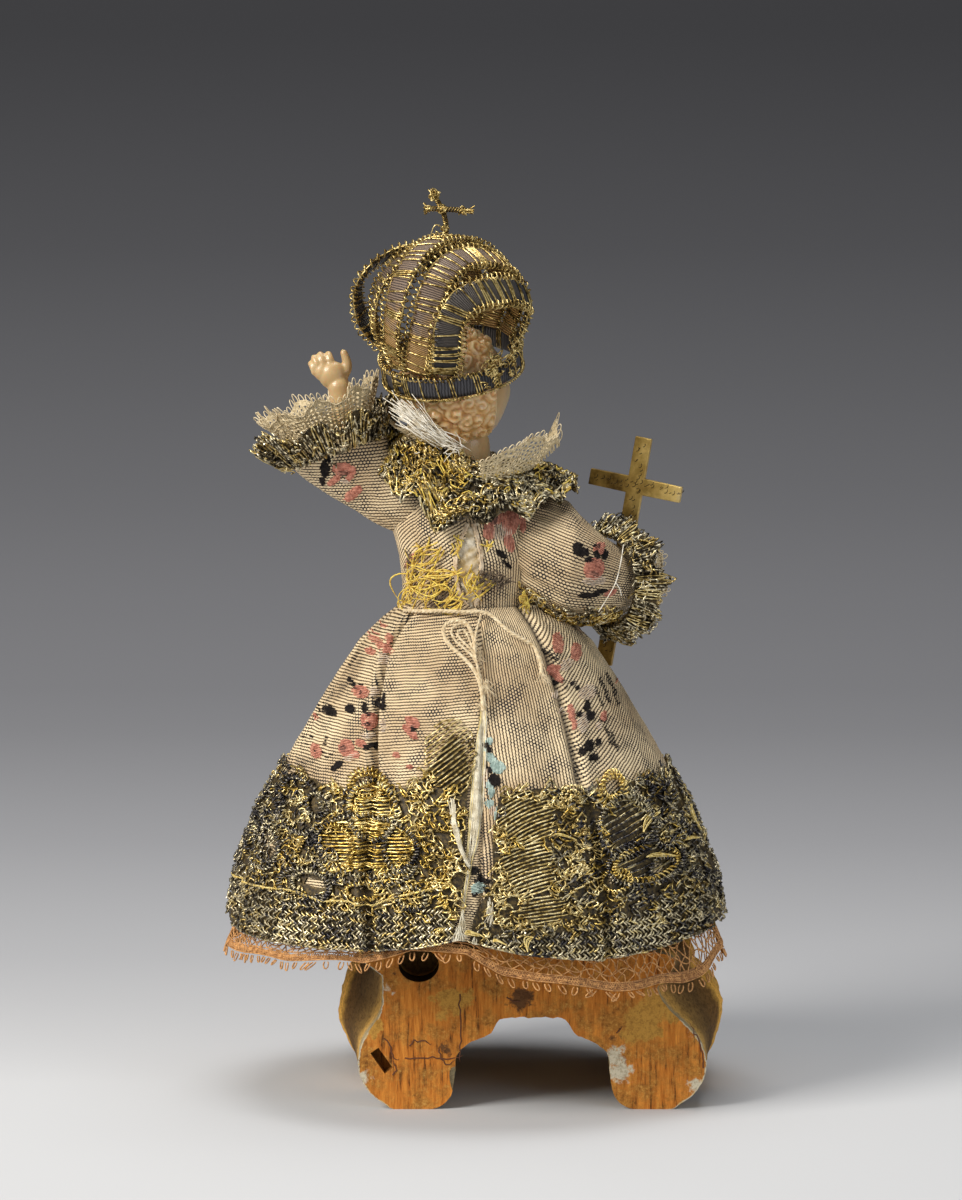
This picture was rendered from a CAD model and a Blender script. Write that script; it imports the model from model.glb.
"""A small dressed figure seen from its back: a crowned ivory child in a brocade gown with metal lace,
on a carved wooden base. Shapes are worked out in millimetres in the part's own layout, where the
figure faces -Y, and to_row() sets them in the row's frame in metres."""

import bmesh
import bpy
import numpy as np
from mathutils import Matrix, Vector
from mathutils.bvhtree import BVHTree
from numpy import arange, array, asarray, clip, cos, exp, interp, linspace, pi, radians, sin, sqrt, stack


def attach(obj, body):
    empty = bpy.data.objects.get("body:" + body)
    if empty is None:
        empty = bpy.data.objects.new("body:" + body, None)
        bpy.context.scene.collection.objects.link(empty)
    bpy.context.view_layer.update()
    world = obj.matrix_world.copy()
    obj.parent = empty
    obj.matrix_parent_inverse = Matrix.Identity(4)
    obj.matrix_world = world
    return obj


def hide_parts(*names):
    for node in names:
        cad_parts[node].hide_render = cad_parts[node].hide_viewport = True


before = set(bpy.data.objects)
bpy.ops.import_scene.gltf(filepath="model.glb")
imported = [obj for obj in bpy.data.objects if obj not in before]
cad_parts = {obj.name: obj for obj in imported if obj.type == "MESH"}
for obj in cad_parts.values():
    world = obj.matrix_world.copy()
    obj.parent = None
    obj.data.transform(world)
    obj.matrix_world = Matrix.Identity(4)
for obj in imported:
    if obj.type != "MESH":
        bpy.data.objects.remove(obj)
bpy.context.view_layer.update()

# Camera, light and floor
# The statue stands on a pale table against a paper sweep that darkens upwards, under a large soft
# light on the raised hand's side. The camera looks down a little on the figure's back.

MILLIMETRE = 0.001
LAYOUT_SHIFT = array([-0.449, 0.3098, 0])
CAMERA_TARGET = [-1.1, 0, 93.5]
CAMERA_DISTANCE = 1.3
CAMERA_ELEVATION = 8.0
CAMERA_LENS = 205.3


def to_row(points):
    """Points of the layout, in millimetres, as points of the row's frame, in metres"""
    return (asarray(points, float) + LAYOUT_SHIFT) * MILLIMETRE


def coords(*axes):
    """Points from their coordinates"""
    return stack(np.broadcast_arrays(*axes), axis=-1)


camera_data = bpy.data.cameras.new("camera")
camera_data.lens = CAMERA_LENS
camera_data.sensor_width = 36.0
camera = bpy.data.objects.new("camera", camera_data)
bpy.context.scene.collection.objects.link(camera)
camera_tilt = radians(CAMERA_ELEVATION)
camera_back = array([0, cos(camera_tilt), sin(camera_tilt)])
camera.location = to_row(CAMERA_TARGET) + CAMERA_DISTANCE * camera_back
camera.rotation_euler = (pi / 2 - camera_tilt, 0, pi)
bpy.context.scene.camera = camera
bpy.context.scene.view_settings.view_transform = "Standard"


def node(tree, kind, inputs=(), **settings):
    """One shader node. Each input is a value or another node's output"""
    made = tree.nodes.new("ShaderNode" + kind)
    for name, value in settings.items():
        setattr(made, name, value)
    for socket, value in dict(inputs).items():
        if isinstance(value, bpy.types.NodeSocket):
            tree.links.new(value, made.inputs[socket])
        else:
            made.inputs[socket].default_value = value
    return made.outputs[0]


def new_material(name, roughness=0.6, metallic=0, **sockets):
    """A material whose colour and bump are linked afterwards, with its tree and shader"""
    material = bpy.data.materials.new(name)
    material.use_nodes = True
    shader = material.node_tree.nodes["Principled BSDF"]
    shader.inputs["Roughness"].default_value = roughness
    shader.inputs["Metallic"].default_value = metallic
    for socket, value in sockets.items():
        shader.inputs[socket.replace("_", " ")].default_value = value
    return material, material.node_tree, shader


def colour(red, green, blue):
    return (red, green, blue, 1)


def ramp(tree, factor, *stops):
    """Colours at places from 0 to 1"""
    made = tree.nodes.new("ShaderNodeValToRGB")
    elements = made.color_ramp.elements
    while len(elements) < len(stops):
        elements.new(0.5)
    for element, (place, shade) in zip(elements, stops):
        element.position = place
        element.color = colour(*shade)
    tree.links.new(factor, made.inputs["Fac"])
    return made.outputs["Color"]


def object_place(tree):
    """Where a point of the surface is, in the row's frame"""
    return tree.nodes.new("ShaderNodeTexCoord").outputs["Object"]


def noise(tree, place, scale, detail=3, roughness=0.5, distortion=0):
    return node(tree, "TexNoise", {"Vector": place, "Scale": scale, "Detail": detail,
                                   "Roughness": roughness, "Distortion": distortion})


def calc(tree, operation, first, second=0):
    return node(tree, "Math", {0: first, 1: second}, operation=operation)


def span(tree, value, low, high):
    """0 where the value is low and 1 where it is high"""
    return node(tree, "MapRange", {"Value": value, "From Min": low, "From Max": high})


def mix(tree, share, first, second, blend_type="MIX"):
    return node(tree, "MixRGB", {"Fac": share, "Color1": first, "Color2": second}, blend_type=blend_type)


def outputs_of(tree, *names):
    """Outputs of the newest node by name"""
    return [tree.nodes[-1].outputs[name] for name in names]


def look(tree, shader, tone, height=None, strength=0.5, distance=0.0002):
    """Gives the shader a colour, and fine relief from a height"""
    tree.links.new(tone, shader.inputs["Base Color"])
    if height is not None:
        bump = node(tree, "Bump", {"Height": height, "Strength": strength, "Distance": distance})
        tree.links.new(bump, shader.inputs["Normal"])


def in_scene(name, data):
    """An object of this data, in the scene"""
    made = bpy.data.objects.new(name, data)
    bpy.context.scene.collection.objects.link(made)
    return made


SWEEP_DEPTH = 0.75
SWEEP_BEND = 0.35
SWEEP_HEIGHT = 1.6
SWEEP_WIDTH = 4.0
TABLE_FRONT = 0.3

sweep_mesh = bpy.data.meshes.new("paper_sweep")
sweep_bm = bmesh.new()
front_edge = bmesh.ops.create_grid(sweep_bm, x_segments=1, y_segments=48, size=0.5)["verts"]
for vertex in front_edge:
    along = (0.5 - vertex.co.y) * (SWEEP_DEPTH + SWEEP_BEND * pi / 2 + SWEEP_HEIGHT)
    turn = min(max((along - SWEEP_DEPTH) / SWEEP_BEND, 0), pi / 2)
    rise = max(along - SWEEP_DEPTH - SWEEP_BEND * pi / 2, 0)
    back = min(along, SWEEP_DEPTH) + SWEEP_BEND * sin(turn)
    vertex.co = (vertex.co.x * SWEEP_WIDTH, TABLE_FRONT - back, SWEEP_BEND * (1 - cos(turn)) + rise)
bmesh.ops.recalc_face_normals(sweep_bm, faces=sweep_bm.faces)
sweep_bm.to_mesh(sweep_mesh)
sweep_bm.free()
sweep_mesh.shade_smooth()
sweep = in_scene("paper_sweep", sweep_mesh)

# The paper's grey at places up the sweep, from the table's front edge to the top of the picture
PAPER_GREYS = [
    (0, 0.54), (0.02, 0.5), (0.09, 0.385), (0.19, 0.29), (0.32, 0.21), (0.41, 0.16), (0.47, 0.12),
    (0.53, 0.088), (0.57, 0.067), (0.62, 0.05), (0.65, 0.041), (1, 0.035),
]
paper, tree, shader = new_material("pale_paper", roughness=0.9, Specular_IOR_Level=0)
node(tree, "SeparateXYZ", {0: object_place(tree)})
depth, height = outputs_of(tree, "Y", "Z")
climb = calc(tree, "MULTIPLY", calc(tree, "SUBTRACT", height, depth), 0.72)
greys = ramp(tree, climb,
             *[(place, (grey, grey, grey * (1.08 - 0.13 * grey))) for place, grey in PAPER_GREYS])
look(tree, shader, greys)
sweep_mesh.materials.append(paper)

world = bpy.data.worlds.new("studio")
bpy.context.scene.world = world
world.use_nodes = True
world.node_tree.nodes["Background"].inputs["Color"].default_value = colour(0.9, 0.95, 1)
world.node_tree.nodes["Background"].inputs["Strength"].default_value = 0.26

SOFT_LIGHTS = {
    "key": ((0.95, 0.62, 0.85), 0.6, 22.5, (1, 0.97, 0.92)),
    "fill": ((-0.9, 0.8, 0.35), 0.8, 4.2, (0.92, 0.96, 1)),
    "top": ((0, -0.15, 1.1), 0.6, 6.5, (1, 1, 1)),
}
for name, (place, size, power, tint) in SOFT_LIGHTS.items():
    light_data = bpy.data.lights.new(name, "AREA")
    light_data.size = size
    light_data.energy = power
    light_data.color = tint
    light = in_scene(name, light_data)
    light.location = place
    aim = light.location - Vector((0, 0, 0.09))
    light.rotation_euler = aim.to_track_quat("Z", "Y").to_euler()

# Waist tie
# A loose linen cord of three strands crosses the back of the waist, and a bow of it hangs below. It
# is tied by hand, so its loops lie on the gown, and its cut ends fray.

WAIST = 93.5
HEM = 31.0
SKIRT_PROFILE = [
    [93.5, 13], [90, 17.6], [85.7, 21.9], [76.1, 28.1], [65.6, 34.2], [55, 39.9], [41.6, 44.7], [31, 46.2],
]
WAIST_TIE_ROUTE = [
    [13.5, 92.4, 2.4], [11.2, 92.7, 2.3], [8.7, 92.9, 2.3], [6.6, 93.1, 2.2], [3.8, 93.1, 2.2],
    [1, 93.1, 2.3], [-1.3, 93.1, 2.4], [-3.2, 92.4, 2.4], [-5.2, 90.7, 2.3], [-7.1, 89.3, 2.2],
    [-9.2, 88.2, 2.1], [-10.9, 87.1, 2], [-11.8, 85.5, 2], [-12.4, 83.6, 2], [-12.3, 82, 2],
]
TIE_LOOP_ROUTE = [
    [0, 86.3, 2.3], [0.2, 88.3, 2.4], [0.8, 90, 2.7], [1.7, 91.3, 3], [3.2, 91.7, 3.2], [4.9, 91.4, 3.1],
    [5.9, 90.4, 2.9], [5.8, 89, 2.7], [4.7, 87.5, 2.5], [3, 86.1, 2.4], [1.3, 84.6, 2.3], [0, 83, 2.3],
    [-0.9, 80.9, 2.3], [-1.3, 78.6, 2.3], [-1.4, 76.2, 2.3],
]
chance = np.random.default_rng(7)
uniform, normal, random = chance.uniform, chance.normal, chance.random


def skirt_radius(z):
    levels, widths = array(SKIRT_PROFILE).T
    return interp(z, levels[::-1], widths[::-1])


def fall_from_waist(z):
    return clip((WAIST - asarray(z, float)) / (WAIST - HEM), 0, 1)


def depth_share(z):
    """The skirt's depth for its width"""
    return 0.81 + 0.1 * fall_from_waist(z)


def back_of_skirt(x, z, out):
    """A point over the back of the skirt, ignoring its folds"""
    radius = skirt_radius(z)
    depth = radius * depth_share(z)
    share = np.minimum(np.abs(x) / radius, 0.98)
    return coords(x, depth * sqrt(1 - share ** 2) + out, z)


def smooth_line(points, count):
    """A smooth line through the points, at even steps along its length"""
    points = asarray(points, float)
    ends = np.vstack([2 * points[0] - points[1], points, 2 * points[-1] - points[-2]])
    place = linspace(0, len(points) - 1 - 1e-9, count * 4)
    i = place.astype(int)
    t = (place - i)[:, None]
    a, b, c, d = ends[i], ends[i + 1], ends[i + 2], ends[i + 3]
    line = 0.5 * (2 * b + (c - a) * t + (2 * a - 5 * b + 4 * c - d) * t ** 2 + (3 * b - a - 3 * c + d)
                  * t ** 3)
    return even_steps(line, count)


def distances(line):
    """How far along a line each of its points is"""
    return np.concatenate([[0], np.cumsum(np.linalg.norm(np.diff(line, axis=0), axis=1))])


def even_steps(line, count):
    reach = distances(line)
    places = linspace(0, reach[-1], count)
    return stack([interp(places, reach, axis) for axis in line.T], axis=-1)


def picked(share, table):
    """Rows of a table at shares of its length"""
    steps = linspace(0, 1, len(table))
    return stack([interp(share, steps, column) for column in table.T], axis=-1)


def show(name, mesh, *materials):
    """Put a finished mesh in the scene, riding on the statue"""
    for material in materials:
        mesh.materials.append(material)
    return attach(in_scene(name, mesh), "root")


def evaluated(name, thing):
    """The mesh that an object's curve or modifiers make, with the object taken away"""
    bpy.context.view_layer.update()
    mesh = bpy.data.meshes.new_from_object(thing.evaluated_get(bpy.context.evaluated_depsgraph_get()))
    mesh.name = name
    bpy.data.objects.remove(thing)
    return mesh


def threads(name, lines, thickness, *materials, fine=0, taper=False):
    """One mesh of round threads along lines given in millimetres"""
    curve = bpy.data.curves.new(name, "CURVE")
    curve.dimensions = "3D"
    curve.bevel_depth = thickness / 2 * MILLIMETRE
    curve.bevel_resolution = fine
    curve.use_fill_caps = True
    for line in lines:
        spline = curve.splines.new("POLY")
        spline.points.add(len(line) - 1)
        placed = np.ones((len(line), 4))
        placed[:, :3] = to_row(line)
        spline.points.foreach_set("co", placed.ravel())
        if taper:
            radii = np.minimum(1, 0.25 + 3 * (1 - linspace(0, 1, len(line))))
            spline.points.foreach_set("radius", radii)
    mesh = evaluated(name, in_scene(name + "_curve", curve))
    mesh.materials.clear()
    bpy.data.curves.remove(curve)
    mesh.shade_smooth()
    return show(name, mesh, *materials)


def unit(vectors):
    vectors = asarray(vectors, float)
    return vectors / np.linalg.norm(vectors, axis=-1, keepdims=True)


def twisted(line, strand_count, radius, pitch):
    """Strands wound round a line"""
    ahead = unit(np.gradient(line, axis=0))
    side = unit(np.cross(ahead, [0.12, 0.95, 0.28]))
    lift = np.cross(side, ahead)
    reach = distances(line)
    strands = []
    for index in range(strand_count):
        turn = (2 * pi * (reach / pitch + index / strand_count))[:, None]
        strands.append(line + radius * (side * cos(turn) + lift * sin(turn)))
    return strands


linen, tree, shader = new_material("linen_cord", roughness=0.85, Sheen_Weight=0.4)
fibre = noise(tree, object_place(tree), 1400, 3)
look(tree, shader, ramp(tree, fibre, (0.3, (0.5, 0.35, 0.17)), (0.7, (0.84, 0.7, 0.46))), fibre)


def tie(name, route):
    line = smooth_line(back_of_skirt(*array(route, float).T), 70)
    cord = threads(name, twisted(line, 3, 0.2, 2.6), 0.44, linen, fine=1)
    return cord, line


waist_tie, waist_line = tie("waist_tie_cord", WAIST_TIE_ROUTE)
tie_loop, loop_line = tie("tie_loop_cord", TIE_LOOP_ROUTE)
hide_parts("waist_tie")
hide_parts("tie_loop")

# The bow's inner loops and the fray at its knots, in x and height on the back of the gown
BOW_LOOPS = [
    [[0.2, 87.6], [0.8, 90.4], [2.2, 91.2], [3.7, 90.9], [4.5, 89.9], [3.7, 88.4], [1.9, 87], [0.2, 85.4],
     [-0.9, 82.5], [-1.4, 79]],
    [[0.4, 86.8], [1.3, 89], [2.1, 90.2], [3.2, 90], [3.2, 89.2], [1.9, 87.9], [0.4, 86.4], [-0.6, 83.4],
     [-1.3, 79.6]],
    [[-1, 92.4], [-0.2, 90], [0.1, 87], [-0.5, 83.6], [-1.2, 79.4]],
]
bow_lines = []
for loop in BOW_LOOPS:
    spots = array(loop, float)
    out = 2.2 + 0.9 * sin(linspace(0, pi, len(spots)))
    bow_lines += twisted(smooth_line(back_of_skirt(spots[:, 0], spots[:, 1], out), 34), 2, 0.13, 2.2)
bow = threads("tie_bow_strands", bow_lines, 0.3, linen, fine=1)

fray_lines = []
# Each fray: x, height, strands and how far they spread
FRAYS = [(-0.7, 86.4, 16, 0.7), (-2, 80.8, 40, 1.2), (-12.3, 82.2, 14, 0.9), (-1.6, 77.5, 20, 0.8)]
for x, z, count, spread in FRAYS:
    for _ in range(count):
        drop = uniform(0.8, 2.6)
        reach = linspace(0, 1, 6)[:, None]
        start = back_of_skirt(x + normal(0, 0.25), z + normal(0, 0.5), 2.4)
        lean = array([normal(0, spread), uniform(-0.2, 0.8), -drop])
        fray_lines.append(start + lean * reach + 0.3 * normal(0, 1, 3) * reach ** 2)
fray = threads("tie_fray", fray_lines, 0.12, linen, taper=True)
for cord, line, extra in [(waist_tie, waist_line, []), (tie_loop, loop_line, [bow, fray])]:
    to_row(line[0])
    to_row(line)

# Carved base
# One block of softwood with an open arch between two scroll feet. Its back is bare and flat, with a
# mortise, a worn hole and tool marks, and its flanks are hollowed, gessoed and gilded to the front.

BASE_TOP = 30.0
BASE_BACK = 24.0
BASE_FRONT = -24.5
BASE_CENTRE_X = -10.8
FOOT_SPREAD = 23.7
FOOT_RADIUS = 9.2
FLANK_SWELL = 7.0
FLANK_LEVEL = 19.0
BACK_RIM = 0.9
ARCH_AND_FOOT = [
    [0, 17.6], [5.9, 17.3], [8, 14.4], [11.6, 12.8], [14.2, 10.4], [14.6, 6.5], [15.6, 2.2], [19, 0],
]
STRAIGHT_SHOULDER = [[32.8, 9.5], [32, 13], [29.6, 16.6], [28.3, 19.6], [28.2, 25], [28.2, BASE_TOP]]
SLOPING_SHOULDER = [[32.6, 9.8], [31.4, 13.2], [28.6, 16.4], [25.6, 19.2], [23.4, 23], [23, BASE_TOP]]


def ease(value, low, high):
    share = clip((value - low) / (high - low), 0, 1)
    return share * share * (3 - 2 * share)


def ripple(points, size, seed=0):
    """A soft uneven number from -1 to 1 at each point"""
    x, y, z = asarray(points, float).T / size
    return (sin(2.1 * x + 1.7 * z + seed) * cos(1.3 * y - 2.3 * z + 2 * seed)
            + sin(4.3 * z + 2.9 * y + 3 * seed) * cos(3.7 * x + 1.1 * y + seed)) / 2


def grid(columns, rows, map_name):
    """A flat grid with a UV map, and how far along and up it each corner is, from 0 to 1"""
    bm = bmesh.new()
    bm.loops.layers.uv.new(map_name)
    bmesh.ops.create_grid(bm, x_segments=columns, y_segments=rows, size=0.5, calc_uvs=True)
    return bm, (array([vertex.co[:2] for vertex in bm.verts]) + 0.5).T


def move(vertices, spots):
    for vertex, spot in zip(vertices, to_row(spots)):
        vertex.co = spot


def weld(bm):
    bmesh.ops.remove_doubles(bm, verts=bm.verts, dist=MILLIMETRE / 1000)


def drop_faces(bm, gone):
    """Takes away the faces whose corners are all gone"""
    faces = [face for face in bm.faces if all(gone[vertex.index] for vertex in face.verts)]
    bmesh.ops.delete(bm, geom=faces, context="FACES")


def close_ends(bm):
    return bmesh.ops.holes_fill(bm, edges=[edge for edge in bm.edges if edge.is_boundary], sides=0)["faces"]


def skin(columns, rows, place, ring=False):
    """A grid whose corners place(u, v) sets, with u and v from 0 to 1 in its UV map"""
    bm, shares = grid(columns, rows, "share")
    move(bm.verts, place(*shares))
    if ring:
        weld(bm)
    return bm


def mesh_of(name, bm, smooth=True):
    """The finished mesh of a form, with its faces all turned outward"""
    bmesh.ops.recalc_face_normals(bm, faces=bm.faces)
    mesh = bpy.data.meshes.new(name)
    bm.to_mesh(mesh)
    bm.free()
    if smooth:
        mesh.shade_smooth()
    return mesh


def half_outline(shoulder, side):
    turns = radians([-66, -48, -30, -12])
    foot = [[FOOT_SPREAD + FOOT_RADIUS * cos(t), FOOT_RADIUS * (1 + sin(t))] for t in turns]
    across, level = array(ARCH_AND_FOOT + [[26.2, 0]] + foot + shoulder, float).T
    return coords(BASE_CENTRE_X + side * across, level)


base_outline = np.vstack([half_outline(STRAIGHT_SHOULDER, 1), half_outline(SLOPING_SHOULDER, -1)[::-1]])
base_outline = smooth_line(base_outline, 301)
base_outline[-1] = base_outline[0]
base_outline[:, 1] = np.maximum(base_outline[:, 1], 0)


def base_side(u, v):
    x, z = picked(u, base_outline).T
    y = BASE_BACK + (BASE_FRONT - BASE_BACK) * v
    side = np.sign(x - BASE_CENTRE_X)
    across = np.abs(x - BASE_CENTRE_X)
    level = exp(-((z - FLANK_LEVEL) / 8.2) ** 2)
    hollow = 1 - ease(y, 6, BASE_BACK - 1.2) ** 0.6
    corner = 1 - 0.7 * ease(-y, 8, 24)
    fullness = np.where(side > 0, 1, 0.95 + 3.2 * ease(z, 12, 22) / FLANK_SWELL)
    reach = FLANK_SWELL * level * hollow * corner * fullness * ease(across, 19.5, 23) * ease(z, 1.5, 5)
    roll = 0.7 * exp(-((y - 3) / 2.2) ** 2) + 0.5 * exp(-((y + 9) / 3) ** 2)
    reach += roll * ease(across, 21, 25) * ease(z, 3, 8)
    spots = coords(x + side * reach, y, z)
    spots[:, 0] += 0.16 * ripple(spots, 1.6) * ease(z, 0.5, 2) * side
    spots[:, 2] += 0.2 * ripple(spots, 1.3, 2) * ease(z, 10, 14) * (1 - ease(z, 24, 28))
    return spots


base_bm = skin(260, 28, base_side, ring=True)
rim = base_bm.verts.layers.float.new("rim")
for vertex in base_bm.verts:
    vertex[rim] = float(ease(abs(vertex.co.x / MILLIMETRE - LAYOUT_SHIFT[0] - BASE_CENTRE_X), 19, 29))
ends = close_ends(base_bm)
back_face = max(ends, key=lambda face: face.calc_center_median().y)
bmesh.ops.inset_region(base_bm, faces=[back_face], thickness=BACK_RIM * MILLIMETRE)
for vertex in back_face.verts:
    vertex[rim] = 0.0
bmesh.ops.triangulate(base_bm, faces=[f for f in base_bm.faces if len(f.verts) > 4])
base_mesh = mesh_of("base_block", base_bm)
base_mesh.set_sharp_from_angle(angle=radians(50))


def set_in(bm, made, centre, size, turn=0):
    """Scales a new form, turns it about the axis that runs from front to back and puts it in place"""
    bmesh.ops.scale(bm, vec=array(size) * MILLIMETRE, verts=made)
    bmesh.ops.rotate(bm, cent=(0, 0, 0), matrix=Matrix.Rotation(radians(turn), 3, "Y"), verts=made)
    bmesh.ops.translate(bm, vec=to_row(centre), verts=made)
    return made


def cutter_box(bm, centre, size, turn):
    set_in(bm, bmesh.ops.create_cube(bm, size=1)["verts"], centre, size, turn)


def cutter_cylinder(bm, centre, radius, deep, scale, turn=0):
    made = bmesh.ops.create_cone(bm, cap_ends=True, segments=28, radius1=radius, radius2=radius * 0.86,
                                 depth=deep)["verts"]
    bmesh.ops.rotate(bm, cent=(0, 0, 0), matrix=Matrix.Rotation(pi / 2, 3, "X"), verts=made)
    set_in(bm, made, centre, scale, turn)


def carved(name, mesh, cutter_mesh):
    """The mesh with the cutter's shape cut out of it"""
    whole = in_scene(name + "_blank", mesh)
    cutter = in_scene(name + "_cutter", cutter_mesh)
    cut = whole.modifiers.new("cut", "BOOLEAN")
    cut.operation = "DIFFERENCE"
    cut.object = cutter
    made = evaluated(name, whole)
    bpy.data.objects.remove(cutter)
    return made


MORTISE = (17.6, BASE_BACK, 9.3)
WORN_HOLE = (10.6, BASE_BACK, 27.6)
holes_bm = bmesh.new()
cutter_box(holes_bm, MORTISE, (1.9, 6, 4.8), 35)
cutter_cylinder(holes_bm, WORN_HOLE, 4.1, 18, (1, 1, 0.85))
cutter_cylinder(holes_bm, (2.2, BASE_BACK + 1.2, 3.6), 2.4, 5, (0.9, 1, 2.3), 24)
base_mesh = carved("base_holed", base_mesh, mesh_of("hole_cutters", holes_bm))

# Tool marks on the back: the carved D, the scratches beside the mortise and the saw's grain lines
TOOL_MARKS = [
    [[12.3, 12.2], [11.6, 13], [9.6, 13.1], [8.2, 12.4]], [[13, 9.7], [9, 9.9], [4.6, 9.6], [2.4, 10.2]],
    [[7, 11.6], [6.4, 9.8], [5.4, 8.6], [4, 9.4]], [[17.2, 13.6], [15.9, 12.2], [15.4, 9.8], [14.2, 9.4]],
    [[15.6, 6.6], [14.9, 7.9], [15.6, 9.2]], [[2.9, 22], [2.7, 15], [2.8, 9]],
    [[-6, 21.5], [-7.4, 20.6], [-8.8, 20.9]], [[-26.6, 14.6], [-27.6, 15.8]],
    [[-43, 8], [-42.5, 12], [-40.4, 16.5]],
]
mark_lines = []
for mark in TOOL_MARKS:
    spots = array(mark, float)
    line = smooth_line(coords(spots[:, 0], np.full(len(spots), BASE_BACK + 0.05), spots[:, 1]), 14)
    line[:, [0, 2]] += 0.12 * normal(0, 1, (14, 2))
    mark_lines.append(line)

# Places on the back where gesso, ochre bole or dirt has stayed, with their size and colour
GESSO, BOLE, DIRT = (0.62, 0.55, 0.4), (0.52, 0.27, 0.05), (0.14, 0.06, 0.02)
WORN_PLACES = [
    ((-26.2, 24, 10.2), 0.0021, GESSO), ((-26.8, 24, 7), 0.0020, GESSO), ((-41.6, 24, 4.6), 0.0013, GESSO),
    ((20.6, 24, 6.4), 0.0014, GESSO), ((16.6, 24, 24), 0.0014, GESSO), ((19.6, 24, 15.6), 0.0012, BOLE),
    ((4.6, 24, 20.5), 0.0024, BOLE), ((-30.6, 24, 16.5), 0.0040, BOLE), ((-36.5, 24, 21), 0.0030, BOLE),
    ((-8.6, 24, 21.5), 0.0012, DIRT), ((-25.8, 24, 13.2), 0.0008, DIRT), ((5.4, 24, 12), 0.0009, DIRT),
    ((15.4, 24, 26), 0.0010, DIRT), ((-42.6, 24, 15), 0.0012, GESSO),
]

BLACK, WHITE = (0, 0, 0), (1, 1, 1)
wood, tree, shader = new_material("carved_softwood", roughness=0.8, Specular_IOR_Level=0.2)
spot = object_place(tree)
grain_place = node(tree, "Mapping", {"Vector": spot, "Scale": (1, 1, 0.09)})
grain = noise(tree, grain_place, 1500, 5, roughness=0.65)
patch = noise(tree, spot, 160, 6, roughness=0.7)
speck = noise(tree, spot, 1300, 4, roughness=0.8)
bare = ramp(tree, grain, (0.33, (0.08, 0.024, 0.005)), (0.43, (0.46, 0.145, 0.018)),
            (0.7, (0.74, 0.29, 0.045)))
stain = ramp(tree, speck, (0.34, (0.1, 0.04, 0.01)), (0.53, (0.36, 0.165, 0.03)), (0.7, (0.62, 0.38, 0.1)))
stained = calc(tree, "MULTIPLY", ramp(tree, patch, (0.46, BLACK), (0.6, WHITE)), 0.75)
bare = mix(tree, stained, bare, stain)
worn_grain = ramp(tree, speck, (0.3, (0.35, 0.28, 0.2)), (0.55, WHITE))
node(tree, "Attribute", attribute_name="rim")
rim_share, = outputs_of(tree, "Fac")
chipped = calc(tree, "MULTIPLY", rim_share, calc(tree, "ADD", patch, speck))
chipped = ramp(tree, chipped, (0.74, BLACK), (0.8, WHITE))
gesso = ramp(tree, speck, (0.3, (0.24, 0.2, 0.13)), (0.5, (0.55, 0.5, 0.38)), (0.62, (0.55, 0.36, 0.1)),
             (0.75, (0.75, 0.72, 0.62)))
bare = mix(tree, chipped, bare, gesso)
for centre, size, shade in WORN_PLACES:
    node(tree, "VectorMath", {0: spot, 1: to_row(centre)}, operation="DISTANCE")
    ragged = calc(tree, "ADD", *outputs_of(tree, "Value"), calc(tree, "MULTIPLY", patch, 0.02))
    cover = span(tree, ragged, size + 0.0105, size + 0.0092)
    mottled = mix(tree, 0.75, colour(*shade), worn_grain, "MULTIPLY")
    bare = mix(tree, cover, bare, mottled)
node(tree, "SeparateXYZ", {0: spot})
reach = span(tree, *outputs_of(tree, "Y"), -0.026, 0.0243)
uneven = calc(tree, "ADD", calc(tree, "MULTIPLY", patch, 0.09), reach)
gilt = ramp(tree, uneven, (0, (0.42, 0.26, 0.07)), (0.68, (0.85, 0.47, 0.09)), (0.72, (0.16, 0.08, 0.02)),
            (0.8, (0.12, 0.065, 0.02)), (0.9, (0.26, 0.15, 0.045)), (0.96, (0.66, 0.38, 0.09)),
            (1, (0.42, 0.34, 0.2)))
worn = ramp(tree, speck, (0.3, (0.25, 0.2, 0.15)), (0.55, WHITE))
gilt = mix(tree, 0.85, gilt, worn, "MULTIPLY")
is_back = calc(tree, "GREATER_THAN", reach, 0.9925)
for centre, size, dark in ((MORTISE, 0.0048, 0.55), (WORN_HOLE, 0.0062, 0.06)):
    node(tree, "VectorMath", {0: spot, 1: to_row(centre)}, operation="DISTANCE")
    close = calc(tree, "LESS_THAN", *outputs_of(tree, "Value"), size)
    inside = mix(tree, 1, bare, colour(dark, dark, dark), "MULTIPLY")
    gilt = mix(tree, close, gilt, inside)
shine = ramp(tree, uneven, (0, (0.7, 0.7, 0.7)), (0.66, (0.4, 0.4, 0.4)), (0.72, (0.1, 0.1, 0.1)),
             (0.99, (0, 0, 0)))
tree.links.new(shine, shader.inputs["Metallic"])
look(tree, shader, mix(tree, is_back, gilt, bare), calc(tree, "ADD", grain, speck), 0.55, 0.0003)

base_mesh.set_sharp_from_angle(angle=radians(40))
base = show("base_block", base_mesh, wood)
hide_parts("carved_base")

dark_wood, tree, shader = new_material("grooved_wood", roughness=0.9, Base_Color=colour(0.13, 0.045, 0.018))
grooves = threads("base_tool_marks", mark_lines, 0.26, dark_wood, taper=True)

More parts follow.
